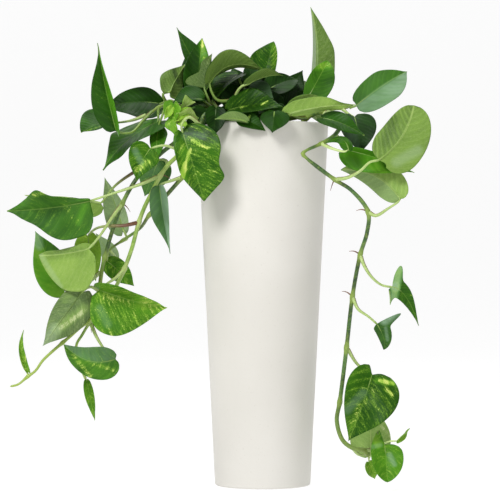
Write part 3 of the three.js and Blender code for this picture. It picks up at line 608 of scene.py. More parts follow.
LEAVES = dict(
    leaf_front=leaf_on("vine_left_short", 4, [42, 18], [0.05, -1, 0.05], [187, 114, -102], [180, 121, -100],
        [181, 130, -94], [203, 200, -98], taper=0.95, lobe=[0.1, 0.06], fold=[8, 14], curl=[14, 10],
        wave=0.02, rumple=2, bulges=[(0, 0.55, 0.13, -0.12), (0, 0.8, 0.12, 0.4), (1, 0.6, 0.2, 0.25)],
        tone=0.36, cream=0.38, strokes=dict(cream=[(0.55, 189, 147, 184, 160, 1.4),
        (0.7, 183, 162, 181, 175, 2.2), (0.65, 191, 138, 207, 146, 1.4)],
        tone=[(0.2, 183, 150, 181, 180, 5), (-0.25, 186, 128, 204, 134, 7)],
        sheen=[(0.2, 184, 133, 202, 133, 4)])),
    leaf_left_tall=leaf_on("stem_left", 7, [23, 16], [-0.42, -0.91, 0], [140, 118, -46], [127, 130, -72],
        [113, 128, -80], [93.5, 38, -62], taper=2, lobe=[0, 0.08], fold=46, curl=-8, arch=0.03,
        stalk_tone=0.4, tone=[0.22, 0.6], cream=0.2),
    leaf_left_low=leaf_on("stem_left", 8, [30, 28], [-0.1, -0.6, 0.8], [130, 117, -26], [112, 119, -34],
        [77, 130, -74], taper=0.9, lobe=0.02, fold=14, tone=0.34,
        strokes=dict(cream=[(0.5, 80, 129, 98, 123, 0.8)])),
    leaf_left_flat=leaf_on("stem_left", 4, [25, 22], [-0.05, -0.82, 0.55], [168, 97, 16], [157, 100, 22],
        [101, 103, 6], taper=1, fold=6, rumple=2, bulges=[(0, 0.5, 0.4, 0.25)], stalk_tone=0.4, tone=0.12),
    leaf_left_drop=leaf_on("stem_left", 6, [28, 30], [-0.55, -0.5, 0.6], [156, 111, -12], [155, 119, -16],
        [99, 168, -54], fold=4, curl=-4, rumple=2, bulges=[(0, 0.22, 0.2, 0.45), (1, 0.35, 0.25, 0.45)],
        stalk_tone=0.4, tone=[0.34, 0.48]),
    leaf_left_drop_small=leaf_on("stem_left", 5, [13, 11], [-0.1, -0.8, 0.5], [161, 110, -30],
        [156, 123, -32], [154, 161, -66], fold=-10, curl=-20, rumple=2.5, stalk_tone=0.5, tone=0.55),
    leaf_left_under=leaf_on("stem_left", 5, [18, 19], [-0.2, 0.9, 0.3], [162, 95, -16], [161, 90, -22],
        [168, 88, -24], [184, 60, 4], rumple=3.5, bands=0.1, stalk_tone=0.5, under=0.38,
        # painted shade: the under stroke darkens the crease along the blade
        strokes=dict(under=[(-0.35, 172, 66, 176, 78, 2)])),
    leaf_left_mottled=leaf_on("vine_left_short", 5, [19, 22], [0.1, -0.9, 0.3], [177, 147, -76],
        [162, 143, -76], [148, 146, -78], [134, 179, -94], lobe=0.03, fold=[10, 16], sweep=0.06, wave=0.02,
        rumple=2.5, tone=0.42, cream=0.34, strokes=dict(cream=[(0.3, 134, 168, 146, 160, 3)],
        sheen=[(0.35, 132, 148, 138, 160, 3)])),
    leaf_left_mottled_low=leaf_on("vine_left_light", 7, [22, 20], [0.1, -0.98, 0.1], [163, 158, -38],
        [156, 158, -28], [142, 195, -28], fold=6, tone=0.42, cream=0.3, sheen=0.2),
    leaf_far_left=leaf_on("vine_left_light", 8, [44, 34], [0, -0.88, -0.48], [140, 182, -48],
        [110, 192, -46], [86, 200, -44], [1, 210, -58], lobe=0, fold=[34, 24], curl=[6, 0], arch=0.05,
        wave=0.03, rumple=1.8, bulges=[(1, 0.66, 0.11, 0.75), (1, 0.1, 0.34, -0.78), (0, 0.7, 0.15, -0.25),
        (0, 0.06, 0.1, 0.12)], tone=[0.42, 0.48], cream=0.27, sheen=0.04,
        strokes=dict(cream=[(0.35, 28, 194, 42, 191, 2), (0.12, 60, 205, 72, 220, 3)],
        tone=[(0.2, 80, 205, 74, 222, 3)])),
    leaf_far_left_back=leaf_on("vine_left_dark", 7, [2, 25], [0.1, 0.95, 0.2], [132, 170, -18],
        [112, 184, -12], [97, 202, -6], [19, 194, 8], lobe=[0, 0.03], fold=10, stalk_tone=0.6, brown=1,
        under=0.72),
    leaf_left_grey=leaf_on("vine_left_short", 11, [11, 21], [0.1, 0.95, 0.1], [124, 238, 2], [120, 229, 8],
        [101, 176, 14], fold=14, rumple=2, sheen=[0.55, 0.35]),
    leaf_left_hanging=leaf_on("vine_left_short", 7, [20, 18], [-0.31, -0.95, 0], [170, 179, -64],
        [157, 184, -66], [168, 254, -68], taper=1.8, lobe=0, fold=52, curl=-10, arch=0.02, tone=[0.3, 0.36],
        sheen=[0.85, 0.2]),
    leaf_left_young=leaf_on("vine_left_light", 11, [16, 20], [-0.15, -0.97, 0.1], [122, 225, -44],
        [95, 227, -32], [84, 236, -12], [92, 282, -2], brown=1, tone=0.95, cream=0.45),
    leaf_left_broad=leaf_on("vine_left_dark", 9, [14, 50], [0, 0.8, -0.6], [108, 218, -40], [95, 237, -62],
        [85, 249, -72], [34, 256, -36], widest=0.4, taper=0.85, fold=[18, 42], curl=[6, 4], arch=0.04,
        rumple=3.6, panel=0.4, bands=0.12, under=[0.62, 0.72], cream=0.24,
        # painted shade: the under stroke darkens the blade along its upper edge, and the sheen stroke is a
        # painted highlight
        strokes=dict(under=[(-0.15, 44, 256, 80, 253, 4)], cream=[(0.3, 94, 262, 88, 282, 1.6),
        (0.3, 62, 291, 80, 290, 1.6)], sheen=[(0.3, 36, 256, 56, 288, 2.5)])),
    leaf_left_back=leaf_on("vine_left_dark", 12, 26, [-0.1, -0.95, 0.1], [84, 284, -8], [70, 294, 2],
        [60, 291, 4], [30, 231, -4], tone=[0.74, 0.5], cream=0.28, sheen=0.02,
        strokes=dict(sheen=[(0.5, 30, 231, 34, 246, 4)])),
    leaf_left_cream=leaf_on("vine_left_dark", 13, [20, 28], [0, 1, 0.05], [86, 288, -38], [77, 294, -46],
        [38, 348, -62], fold=[14, 10], rumple=2.5, bands=0.25, under=0.22, cream=0.3, sheen=0.12,
        strokes=dict(cream=[(0.4, 80, 312, 56, 330, 2.5)], under=[(0.35, 80, 310, 52, 332, 5),
        (0.2, 60, 302, 66, 296, 3)], sheen=[(0.4, 50, 332, 40, 346, 6)])),
    leaf_left_heart=leaf_on("vine_left_light", 13, [34, 50], [0, -0.86, -0.5], [112, 279, -44],
        [103, 285, -50], [96, 291, -54], [165, 309, -62], lobe=0.08, fold=[40, 34], curl=[-6, 0], arch=0.05,
        rumple=1.8, bands=0.05, tone=0.5, cream=0.45, strokes=dict(cream=[(0.12, 146, 308, 164, 309, 7),
        (0.12, 100, 296, 140, 310, 3)], tone=[(0.2, 140, 306, 164, 309, 9)],
        sheen=[(0.2, 96, 310, 104, 326, 4)])),
    leaf_left_mottled_small=leaf_on("vine_left_short", 13, [14, 16], [0.2, -0.95, 0.2], [104, 262, -2],
        [131, 287, 6], tone=0.45, cream=0.42),
    leaf_left_sliver=leaf_on("vine_left_short", 12, 12, [0.2, 0.95, 0], [112, 258, 10], [110, 262, 16],
        [92, 233, 20], stalk=YOUNG_STALK, under=0.45, sheen=0.6),
    leaf_left_bottom=leaf_on("vine_left_light", 16, [24, 20], [0, -0.95, 0.2], [93, 340, -16],
        [104, 356, -18], [112, 362, -24], [59, 347, -52], taper=1, lobe=0.03, arch=0.04, sweep=-0.16,
        tone=[0.48, 0.42], cream=0.3, sheen=[0.05, 0.3], strokes=dict(cream=[(0.28, 70, 360, 86, 379, 2.2),
        (0.28, 86, 366, 110, 373, 2.2)], tone=[(0.12, 78, 362, 104, 380, 6)])),
    leaf_right_round=leaf_on("vine_right", 10, [36, 28], [0.15, 0.98, 0.1], [350, 176, -94],
        [363, 169, -98], [373, 160, -96], [382, 158, -92], [418, 102, -88], widest=0.34, taper=0.45,
        lobe=[-0.06, 0], fold=[8, 10], curl=8, sweep=-0.1, rumple=1.6, panel=0.5, bands=[0.15, 0.5],
        under=[0.6, 0.46], strokes=dict(sheen=[(0.35, 400, 160, 422, 148, 5)],
        under=[(-0.12, 388, 140, 398, 116, 5)])),
    leaf_right_lower=leaf_on("vine_right", 12, [22, 20], [0.1, 0.98, 0.1], [379, 215, -80], [391, 208, -78],
        [404, 198, -74], [343, 168, -50], taper=1, lobe=[0.02, 0], fold=[8, 14], bend=[383, 165, -62],
        panel=0.4, bands=[0.35, 0.15], under=[0.74, 0.56], sheen=[0.05, 0.3]),
    leaf_right_middle=leaf_on("vine_right", 5, [9, 28], [0, -0.93, 0.37], [341, 139, -66], [351, 148, -62],
        [418, 171, -66], widest=0.25, taper=1.5, lobe=0.13, fold=[64, 8], tone=0.64, cream=0.1),
    leaf_right_curl=leaf_on("vine_right", 6, [9, 10], [0, -0.55, 0.83], [334, 146, -98], [347, 149, -104],
        [351, 147, -104], [326, 141, -94], fold=-6, curl=-10, arch=0.2, bend=[347, 129, -100], stalk_tone=1,
        tone=0.42),
    leaf_right_dark=leaf_on("stem_right", 5, [24, 30], [0.3, -0.85, 0.4], [350, 110, -14], [357, 114, -20],
        [363, 152, -42], rumple=3, tone=0.08, sheen=[0.02, 0.15]),
    leaf_right_below=leaf_on("vine_right", 3, [14, 20], [0, -0.7, 0.7], [326, 110, -58], [325, 115, -70],
        [367, 133, -88], rumple=2.5, tone=0.3, cream=0.15),
    leaf_right_fan=leaf_on("stem_right", 6, [20, 30], [0.2, -0.82, 0.5], [359, 102, -4], [411, 67, 22],
        widest=0.46, taper=1.1, lobe=[-0.01, 0.02], fold=14, panel=0.2, stalk_tone=0.5, tone=0.44,
        sheen=[0.08, 0.55]),
    leaf_right_tall=leaf_on("stem_right", 3, [25, 16], [0.1, 0.98, 0], [313, 100, 14], [313, 92, 20],
        [312, 1, 34], fold=[12, 60], arch=0.03, sweep=-0.06, panel=0.2, bulges=[(0, 0.55, 0.1, 0.1)],
        stalk_tone=0.4, tone=0.6, under=0.35, sheen=[0, 0.7]),
    leaf_right_tall_front=leaf_on("stem_right", 3, [13, 22], [0.2, -0.95, 0.3], [315, 100, -12],
        [309, 95, -16], [330, 56, 6], widest=0.4, taper=0.9, lobe=[0, 0.16], fold=[12, 8], tone=[0.5, 0.42],
        cream=0.2, strokes=dict(tone=[(0.3, 318, 62, 331, 60, 4)], cream=[(0.3, 324, 62, 331, 60, 3)])),
    leaf_right_under_left=leaf_on("stem_right", 2, [26, 24], [0, 0.6, 0.8], [298, 111, -20],
        [290, 112, -38], [338, 104, -34], arch=0.1, rumple=2, bands=0.1, stalk_tone=0.4, under=0.5),
    leaf_right_under_right=leaf_on("vine_right", 2, [12, 16], [0, 0.7, 0.7], [300, 115, -50],
        [294, 112, -70], [290, 110, -82], [358, 101, -86], arch=0.05, rumple=2, bands=0.1, stalk_tone=0.4,
        under=0.7),
    leaf_small_upper=leaf_on("vine_right", 14, 12, [0.1, -0.98, 0.2], [366, 264, -74], [374, 277, -74],
        [385, 286, -70], [396, 288, -70], [423, 328, -52], widest=0.08, lobe=[0, 0.1], fold=4, curl=4,
        arch=0.05, bend=[411, 290, -60], wave=0, rumple=0.8, bulges=[(0, 0.09, 0.07, 1.4),
        (1, 0.1, 0.11, 1)], tone=0.36, under=0.7, cream=0.25,
        strokes=dict(tone=[(0.5, 403, 268, 399, 288, 4), (0.5, 399, 288, 394, 312, 4)],
        sheen=[(0.55, 403, 268, 399, 288, 4), (0.5, 399, 288, 394, 312, 4)])),
    leaf_small_lower=leaf_on("vine_right", 15, [13, 7], [0, -0.98, 0.15], [361, 311, -74], [371, 318, -76],
        [380, 326, -74], [387, 352, -56], widest=0.1, taper=0.8, lobe=0, fold=4, curl=4,
        bend=[390, 341, -66], wave=0, rumple=0.8, bulges=[(0, 0.1, 0.08, 1.5)], tone=0.34, cream=0.25,
        sheen=0.05, strokes=dict(sheen=[(0.8, 388, 321, 403, 310, 5), (0.35, 389, 330, 391, 342, 1.6)])),
    leaf_right_heart=leaf_on("vine_right", 16, [42, 30], [0.1, -1, 0.05], [359, 366, -54], [368, 374, -54],
        [375, 378, -64], [351, 446, -84], lobe=[0.05, 0.14], fold=[14, 12], curl=[4, 10], arch=0.1,
        rumple=2.4, bands=0.05, tone=[0.28, 0.38], cream=0.35,
        strokes=dict(cream=[(0.5, 383, 384, 396, 387, 2), (0.3, 388, 393, 396, 398, 1.6),
        (0.15, 376, 398, 380, 414, 2), (0.18, 362, 410, 352, 440, 3)], tone=[(0.25, 380, 384, 398, 387, 3)],
        sheen=[(0.2, 350, 414, 366, 396, 4)])),
    leaf_right_backing=leaf_on("vine_right", 20, 27, [0, 1, 0.1], [362, 460, -44], [374, 458, -34],
        [374, 408, -30], under=0.7, sheen=0.12, strokes=dict(cream=[(0.6, 384, 430, 398, 446, 2)])),
    leaf_bottom=leaf_on("vine_right", 21, [22, 20], [0.05, -1, 0.1], [380, 454, -56], [388, 450, -70],
        [391, 488, -88], widest=0.42, taper=0.7, lobe=[0, 0.46], rumple=2.6, bands=0.05, tone=0.6,
        cream=0.38, strokes=dict(sheen=[(0.4, 393, 460, 398, 470, 2.5), (0.3, 376, 452, 384, 450, 2)],
        tone=[(0.25, 376, 440, 382, 450, 4)])),
)
print("single leaves:", len(LEAVES))

# %% [markdown]
# ## Leaves that share a piece with their stem
# Each sprig of the crown has its own leaves, and a young one is still rolled up at the
# tip of a vine. `like` names a sort of leaf, and what is written after it comes on top.

# %% Leaves of the sprigs and the vines' tips
ROLLED = dict(fold=20, curl=20, arch=0.02, stalk=YOUNG_STALK)
YOUNG = dict(tone=0.95, under=0.85, cream=0.5, rumple=5, wave=0.1, stalk=YOUNG_STALK, stalk_tone=1)
BACK = dict(arch=0.12, under=0.3)
GROWN = {}
GROWN["sprig_centre_left"] = [
    leaf(2, [9, 18], [-0.4, -0.9, 0.1], [208, 92, 10], [199, 66, 20], [175, 22, 26], taper=1.7, tone=0.28),
    leaf(3, [20, 16], [0, -0.95, 0.3], [202, 98, -6], [196, 88, -4], [201, 33, 2], taper=1.1,
        tone=[0.22, 0.34], cream=0.2, strokes=dict(cream=[(0.55, 201, 35, 201, 41, 1.4),
        (0.3, 201, 41, 204, 56, 1.8)], tone=[(0.35, 201, 34, 203, 56, 4)])),
    leaf(3, [6, 26], [-0.2, 0.9, -0.3], [207, 95, -28], [203, 84, -26], [211, 49, -16], widest=0.14,
        taper=1.2, lobe=[0.05, 0], rumple=2, bands=0.1, bulges=[(1, 0.5, 0.2, -0.5)], under=0.2,
        strokes=dict(cream=[(0.4, 209, 52, 205, 62, 1.2)])),
    leaf(3, [12, 24], [0, -0.6, 0.8], [206, 100, -34], [202, 96, -44], [170, 100, -52], rumple=2, tone=0.2),
    leaf(5, [11, 13], [-0.5, -0.8, 0.2], [180, 104, -74], [172, 101, -80], [173, 135, -86], like=YOUNG,
        fold=24, wave=0.05, rumple=6, bulges=[(0, 0.22, 0.1, 0.45), (0, 0.55, 0.08, -0.35),
        (1, 0.4, 0.08, -0.4), (0, 0.8, 0.1, 0.5), (1, 0.68, 0.1, 0.4)], tone=0.72, under=0.8, cream=0.42),
    leaf(5, [13, 12], [0, 0.5, 0.8], [180, 106, -79], [194, 99, -76], like=YOUNG, wave=0.08, rumple=6,
        bulges=[(0, 0.4, 0.1, 0.5), (1, 0.6, 0.1, 0.5)], tone=0.85, under=0.82),
    leaf(5, [12, 11], [0, -0.6, 0.8], [177, 115, -82], [196, 117, -80], like=YOUNG, fold=40, curl=40,
        wave=0.08, rumple=6, bulges=[(1, 0.4, 0.1, 0.5), (0, 0.6, 0.1, 0.5)], tone=0.85, under=0.82),
]
GROWN["sprig_centre"] = [
    leaf(4, 28, [-0.1, 0.45, 0.9], [216, 96, -52], [208, 79, -56], [265, 67, -44], arch=0.26, bands=0.05,
        tone=0.2, under=0.47, strokes=dict(cream=[(0.6, 259, 60, 265, 67, 1.4)])),
    leaf(4, 22, [-0.05, 0.2, 0.98], [237, 88, -56], [242, 82, -62], [249, 79, -64], [284, 71, -56],
        lobe=0.2, stalk_tone=0.7, tone=0.2, under=0.45),
    leaf(3, 16, [0, -0.6, 0.8], [243, 92, -46], [249, 84, -45], [274, 95, -59], tone=0.1, sheen=0.15),
    leaf(3, [26, 24], [0, -0.7, 0.7], [232, 104, -54], [228, 107, -60], [284, 103, -86], rumple=2,
        tone=0.14, cream=0.28, strokes=dict(cream=[(0.4, 262, 101, 268, 98, 1.2),
        (0.3, 240, 104, 246, 103, 1)])),
    leaf(2, [20, 17], [0, -0.85, 0.5], [266, 110, -66], [272, 110, -84], [275, 108, -90], [273, 130, -102],
        fold=-10, tone=0.16),
    leaf(2, [11, 13], [0, -0.85, 0.5], [246, 110, -62], [241, 111, -82], [240, 115, -82], [266, 128, -89],
        tone=0.2),
    leaf(2, 11, [0, 0.5, 0.85], [250, 110, -60], [250, 112, -84], [246, 118, -98], [214, 116, -104],
        under=0.42, sheen=0.1),
]
GROWN["sprig_centre_right"] = [
    leaf(4, [25, 13], [0, -0.85, 0.5], [262, 84, 8], [264, 76, 14], [274.5, 37, 34], taper=1, rumple=2,
        tone=0.26, cream=0.3, strokes=dict(cream=[(0.14, 276, 42, 275, 66, 4)],
        tone=[(0.15, 274, 38, 277, 60, 4)])),
    leaf(4, [16, 24], [0.1, -0.7, 0.7], [266, 88, -12], [268, 86, -16], [300, 75, 8], rumple=2, tone=0.1),
    leaf(3, [10, 16], [0.1, -0.8, 0.6], [256, 90, -14], [250, 80, -18], [250, 56, 0], rumple=2, tone=0.1),
    leaf(3, 24, [-0.5, -0.6, 0.6], [250, 92, -14], [240, 78, -12], [238, 71, -12], [212, 98, -36], rumple=2,
        tone=0.1, cream=0.28),
]
GROWN["sprig_back"] = [
    leaf(4, [14, 20], [0.1, -0.9, 0.3], [262, 90, 44], [284, 96, 30], [304, 66, 34], tone=0.1),
    leaf(2, 30, [-0.2, 0.3, 0.9], [240, 104, 66], [226, 98, 76], [192, 86, 112], like=BACK, arch=0.14,
        tone=0.25),
    leaf(3, 30, [0.1, 0.3, 0.9], [272, 92, 78], [280, 90, 92], [300, 96, 146], like=BACK, arch=0.14,
        tone=0.3, cream=0.3),
    leaf(4, 30, [0, 0.4, 0.9], [246, 80, 74], [242, 76, 88], [232, 92, 150], like=BACK, arch=0.14,
        tone=0.2),
    leaf(2, 26, [0.3, 0.5, 0.8], [284, 104, 64], [300, 102, 84], [322, 122, 130], like=BACK, tone=0.3),
    leaf(2, 30, [0, 0.85, 0.5], [250, 108, 80], [246, 110, 98], [238, 150, 128], like=BACK, tone=0.35,
        cream=0.34),
    leaf(2, [26, 28], [-0.1, 0.1, 0.98], [254, 110, 42], [244, 108, 30], [204, 104, 62], like=BACK,
        tone=0.15, under=0.2),
    leaf(2, [28, 26], [0.1, 0.1, 0.98], [274, 112, 42], [284, 110, 36], [326, 108, 64], like=BACK,
        tone=0.15, under=0.2),
]
GROWN["vine_left_light"] = [
    leaf(20, 7, [0, -1, 0.1], [83, 386, -22], [91, 425, -26], like=ROLLED, tone=0.55, under=0.6,
        cream=0.45),
]
GROWN["vine_left_dark"] = [
    leaf(20, 5, [0.4, -0.9, 0], [22, 374, -40], [18, 332, -40], like=ROLLED, sweep=-0.12, stalk_tone=1,
        tone=0.62, under=0.7, cream=0.55),
]
GROWN["vine_right"] = [
    leaf(22, 4, [0.3, -0.9, -0.3], [380, 456, -54], [386, 449, -64], [395, 446, -76], [401, 446, -80],
        [414, 433, -54], like=ROLLED, fold=16, stalk_tone=1, tone=0.85, under=0.95, cream=0.3),
    leaf(22, 10, [0.2, -1, 0], [372, 468, -48], [378, 485, -44], like=YOUNG, fold=20, wave=0.01, rumple=4,
        tone=0.75),
]
print("leaves on sprigs and tips:", sum(len(leaves) for leaves in GROWN.values()))

# %% [markdown]
# ## The crowd inside the crown
# A full plant has more leaves than can be seen one by one. Small ones fill the crown's
# inside, coloured near black as painted shade, the deep shade inside the crown, and three
# young crinkled ones fill its bright corner, within the outline that the sprigs already have.

# %% Leaves inside the crown
# painted shade: a near-black tone and underside for the leaves deep in the crown
DARK_PAINTED_SHADE = dict(tone=0.05, under=0.05)
GROWN["sprig_centre_left"] += [
    leaf(2, [24, 22], [-0.1, -0.95, 0.2], [204, 90, 20], [185, 47, 42], like=DARK_PAINTED_SHADE, tone=0.16),
    leaf(2, 16, [0.1, -0.95, 0.2], [213, 100, 7], [202, 60, 14], like=DARK_PAINTED_SHADE),
    leaf(3, 18, [0.1, -0.8, 0.5], [203, 104, -29], [176, 93, -34], like=DARK_PAINTED_SHADE, tone=0.12),
    leaf(3, 18, [-0.2, -0.8, 0.5], [207, 112, -57], [183, 127, -65], like=DARK_PAINTED_SHADE, tone=0.1),
    leaf(1, 14, [0.2, -0.9, 0.2], [215, 105, -75], [212, 134, -81], like=DARK_PAINTED_SHADE),
    leaf(1, 20, [0, -0.8, 0.5], [199, 105, 23], [169, 105, 34], like=DARK_PAINTED_SHADE),
    leaf(5, [9, 8], [0.2, -0.9, 0.4], [187, 107, -82], [173, 119, -88], like=YOUNG, seed=3.1,
        fold=[30, 26]),
    leaf(5, [6, 9], [-0.3, -0.9, 0.2], [176, 111, -84], [187, 125, -90], like=YOUNG, seed=11.4,
        fold=[34, 10]),
    leaf(5, [6, 7], [0.3, -0.9, 0.2], [170, 104, -84], [162, 116, -86], like=YOUNG, seed=22.7, fold=30),
]
GROWN["sprig_centre"] += [
    leaf(3, [16, 22], [0.2, -0.9, 0.3], [234, 108, -30], [226, 76, -14], like=DARK_PAINTED_SHADE),
    leaf(3, [16, 14], [0, -0.8, 0.55], [247, 101, -45], [277, 85, -46], like=DARK_PAINTED_SHADE),
    leaf(3, 18, [0.1, -0.9, 0.3], [242, 98, -10], [232, 62, 10], like=DARK_PAINTED_SHADE),
    leaf(2, 14, [0, -0.85, 0.5], [240, 107, -60], [262, 122, -72], like=DARK_PAINTED_SHADE, tone=0.12),
    leaf(2, 14, [0, -0.8, 0.5], [234, 116, -40], [212, 110, -70], like=DARK_PAINTED_SHADE),
    leaf(1, 18, [0, -0.7, 0.7], [256, 107, -37], [236, 120, -69], like=DARK_PAINTED_SHADE),
]
GROWN["sprig_centre_right"] += [
    leaf(2, 22, [0.1, -0.9, 0.3], [282, 104, 4], [294, 74, 24], like=DARK_PAINTED_SHADE),
    leaf(2, [16, 18], [0, -0.8, 0.5], [271, 110, -54], [289, 117, -73], like=DARK_PAINTED_SHADE, tone=0.1),
    leaf(2, 20, [0, -0.8, 0.5], [286, 106, -10], [314, 96, 2], like=DARK_PAINTED_SHADE),
    leaf(2, 15, [0, -0.8, 0.5], [294, 105, 17], [326, 97, 14], like=DARK_PAINTED_SHADE),
    leaf(3, 18, [-0.1, -0.9, 0.3], [262, 97, -4], [251, 66, 10], like=DARK_PAINTED_SHADE),
    leaf(2, 16, [0.1, -0.9, 0.3], [274, 107, -28], [268, 84, -30], like=DARK_PAINTED_SHADE),
]
print("leaves on sprigs, tips and inside:", sum(len(leaves) for leaves in GROWN.values()))

# %% [markdown]
# ## Smooth curves through places
# A stem bends smoothly through its places. The curve below gives more room to long
# stretches and less to short ones, so it never overshoots at a sharp turn.

# %% Curves
CURVE_STEPS = 40  # between two places, before the curve is divided evenly


def curve_through(points, step):
    """The curve through the points, as places a step apart, in millimetres."""
    points = [np.array(p, float) for p in points]
    points = [2 * points[0] - points[1], *points, 2 * points[-1] - points[-2]]
    dense = []
    for i in range(1, len(points) - 2):
        p0, p1, p2, p3 = points[i - 1:i + 3]
        g0, g1, g2 = [max(np.linalg.norm(b - a) ** 0.5, 1e-4) for a, b in ((p0, p1), (p1, p2), (p2, p3))]
        start = ((p1 - p0) / g0 - (p2 - p0) / (g0 + g1) + (p2 - p1) / g1) * g1
        end = ((p2 - p1) / g1 - (p3 - p1) / (g1 + g2) + (p3 - p2) / g2) * g1
        for t in np.linspace(0, 1, CURVE_STEPS, endpoint=i == len(points) - 3):
            dense.append(p1 + start * t + (3 * (p2 - p1) - 2 * start - end) * t ** 2
                         + (2 * (p1 - p2) + start + end) * t ** 3)
    dense = np.array(dense)
    run = np.concatenate([[0], np.cumsum(np.linalg.norm(np.diff(dense, axis=0), axis=1))])
    count = max(3, int(round(run[-1] / step)) + 1)
    places = np.linspace(0, run[-1], count)
    return np.stack([np.interp(places, run, dense[:, k]) for k in range(3)], axis=1)


def weld(distance, outward=False):
    """Merges points of the active piece that touch, turns its faces out if asked, and smooths it."""
    bpy.ops.object.mode_set(mode="EDIT")
    bpy.ops.mesh.select_all(action="SELECT")
    bpy.ops.mesh.remove_doubles(threshold=distance * MM)
    if outward:
        bpy.ops.mesh.normals_make_consistent(inside=False)
    bpy.ops.object.mode_set(mode="OBJECT")
    bpy.ops.object.shade_smooth()


def tube(points, radii, sides=10):
    """A round stem along the points with its own thickness at each of them."""
    start_fresh()
    data = bpy.data.curves.new("stem", "CURVE")
    data.dimensions = "3D"
    data.bevel_depth = MM
    data.bevel_resolution = (sides - 4) // 2
    data.use_fill_caps = True
    line = data.splines.new("POLY")
    line.points.add(len(points) - 1)
    for knot, place, radius in zip(line.points, points, radii):
        knot.co = (*(place * MM), 1)
        knot.radius = radius
    piece = link("stem", data)
    piece.select_set(True)
    bpy.context.view_layer.objects.active = piece
    bpy.ops.object.convert(target="MESH")
    weld(0.01, outward=True)
    return bpy.context.object


def carry(piece, name, values):
    """Writes a value on each point of the piece."""
    held = piece.data.attributes.new(name, "FLOAT", "POINT")
    held.data.foreach_set("value", np.zeros(len(piece.data.vertices)) + values)


def corners_of(piece):
    flat = np.empty(len(piece.data.vertices) * 3)
    piece.data.vertices.foreach_get("co", flat)
    return flat.reshape(-1, 3)


def nearest_of(piece, points):
    """The number of the point that is nearest to each corner of the piece."""
    return np.linalg.norm((corners_of(piece) / MM)[:, None] - points[None], axis=2).argmin(axis=1)


def join(pieces):
    start_fresh()
    for piece in pieces:
        piece.select_set(True)
    bpy.context.view_layer.objects.active = pieces[0]
    bpy.ops.object.join()
    return bpy.context.object


print("a test curve:", len(curve_through([at(p) for p in STEMS["vine_right"]["path"]], 2.5)), "places")

# %% [markdown]
# ## The blade
# A blade starts as a flat grid. Each point of it has a side, from -1 at the left edge to
# 1 at the right, and a station, from 0 at the stalk to 1 at the tip. The station picks a
# place on the midrib's curve and the blade's width there. Each half leaves the midrib at
# the fold angle and turns by the curl angle on its way to the edge. Ripples, lobes and
# raised panels between the side veins make it a living leaf.

# %% Shape of a blade
LEAF_SHAPE = dict(
    widest=0.3, taper=1.3, lobe=0.1, fold=12, curl=10, arch=0.08, sweep=0, bend=None, wave=0.01, rumple=1.3,
    panel=0.12, bulges=[], stalk=STALK_RADIUS, stalk_tone=0.75, brown=0.0, tone=0.4, under=0.4, bands=0.15,
    cream=0.0, sheen=0.0, strokes={},
)
BLADE_SHOULDER = 0.36
BLADE_THICKNESS = 0.6
CELLS_ACROSS = 32
CELLS_ALONG = 70
VEINS = 10  # side veins on each half
VEIN_LEAN = 0.7  # how far a side vein runs forward on its way to the edge
VEIN_BEND = 0.5
VEIN_WANDER = 0.7
HALF_SHIFT = 0.25  # the right half's veins leave the midrib between those of the left
RUMPLE_SIZE = 26  # millimetres from one rumple of the surface to the next
RUMPLE_HEIGHT = 2.2
RIPPLES = 3  # along an edge
LOBE_TURN = 0.6
MIDRIB_SOFTNESS = 0.004


def pair(value):
    """One number for both halves, or one each for the left and the right half."""
    return np.array([value, value] if np.ndim(value) == 0 else value, float)


def rib_of(leaf):
    base, tip = at(leaf["base"]), at(leaf["tip"])
    length = np.linalg.norm(tip - base)
    along = (tip - base) / length
    face = np.array(leaf["face"], float)
    up = unit(face - along * (face @ along))
    right = np.cross(along, up)
    middle = (base + tip) / 2 + up * 2 * leaf["arch"] * length + right * 2 * leaf["sweep"] * length
    if leaf["bend"]:
        middle, up = at(leaf["bend"]), unit(face)
    return base, middle, tip, up, length


def on_rib(leaf, station):
    base, middle, tip, up, _ = rib_of(leaf)
    s = np.asarray(station, float)[:, None]
    place = (1 - s) ** 2 * base + 2 * s * (1 - s) * middle + s ** 2 * tip
    along = unit(2 * (1 - s) * (middle - base) + 2 * s * (tip - middle))
    up = unit(up - along * (along @ up)[:, None])
    return place, along, up, np.cross(along, up)


def fullness(leaf, station):
    widest, taper = leaf["widest"], leaf["taper"]
    near = np.minimum(station / widest, 1) ** 0.6
    rise = BLADE_SHOULDER + (1 - BLADE_SHOULDER) * np.sin(np.pi / 2 * near)
    run = np.clip((station - widest) / (1 - widest), 0, 1)
    return np.where(station < widest, rise, (1 - run) ** taper * (1 + taper * run))


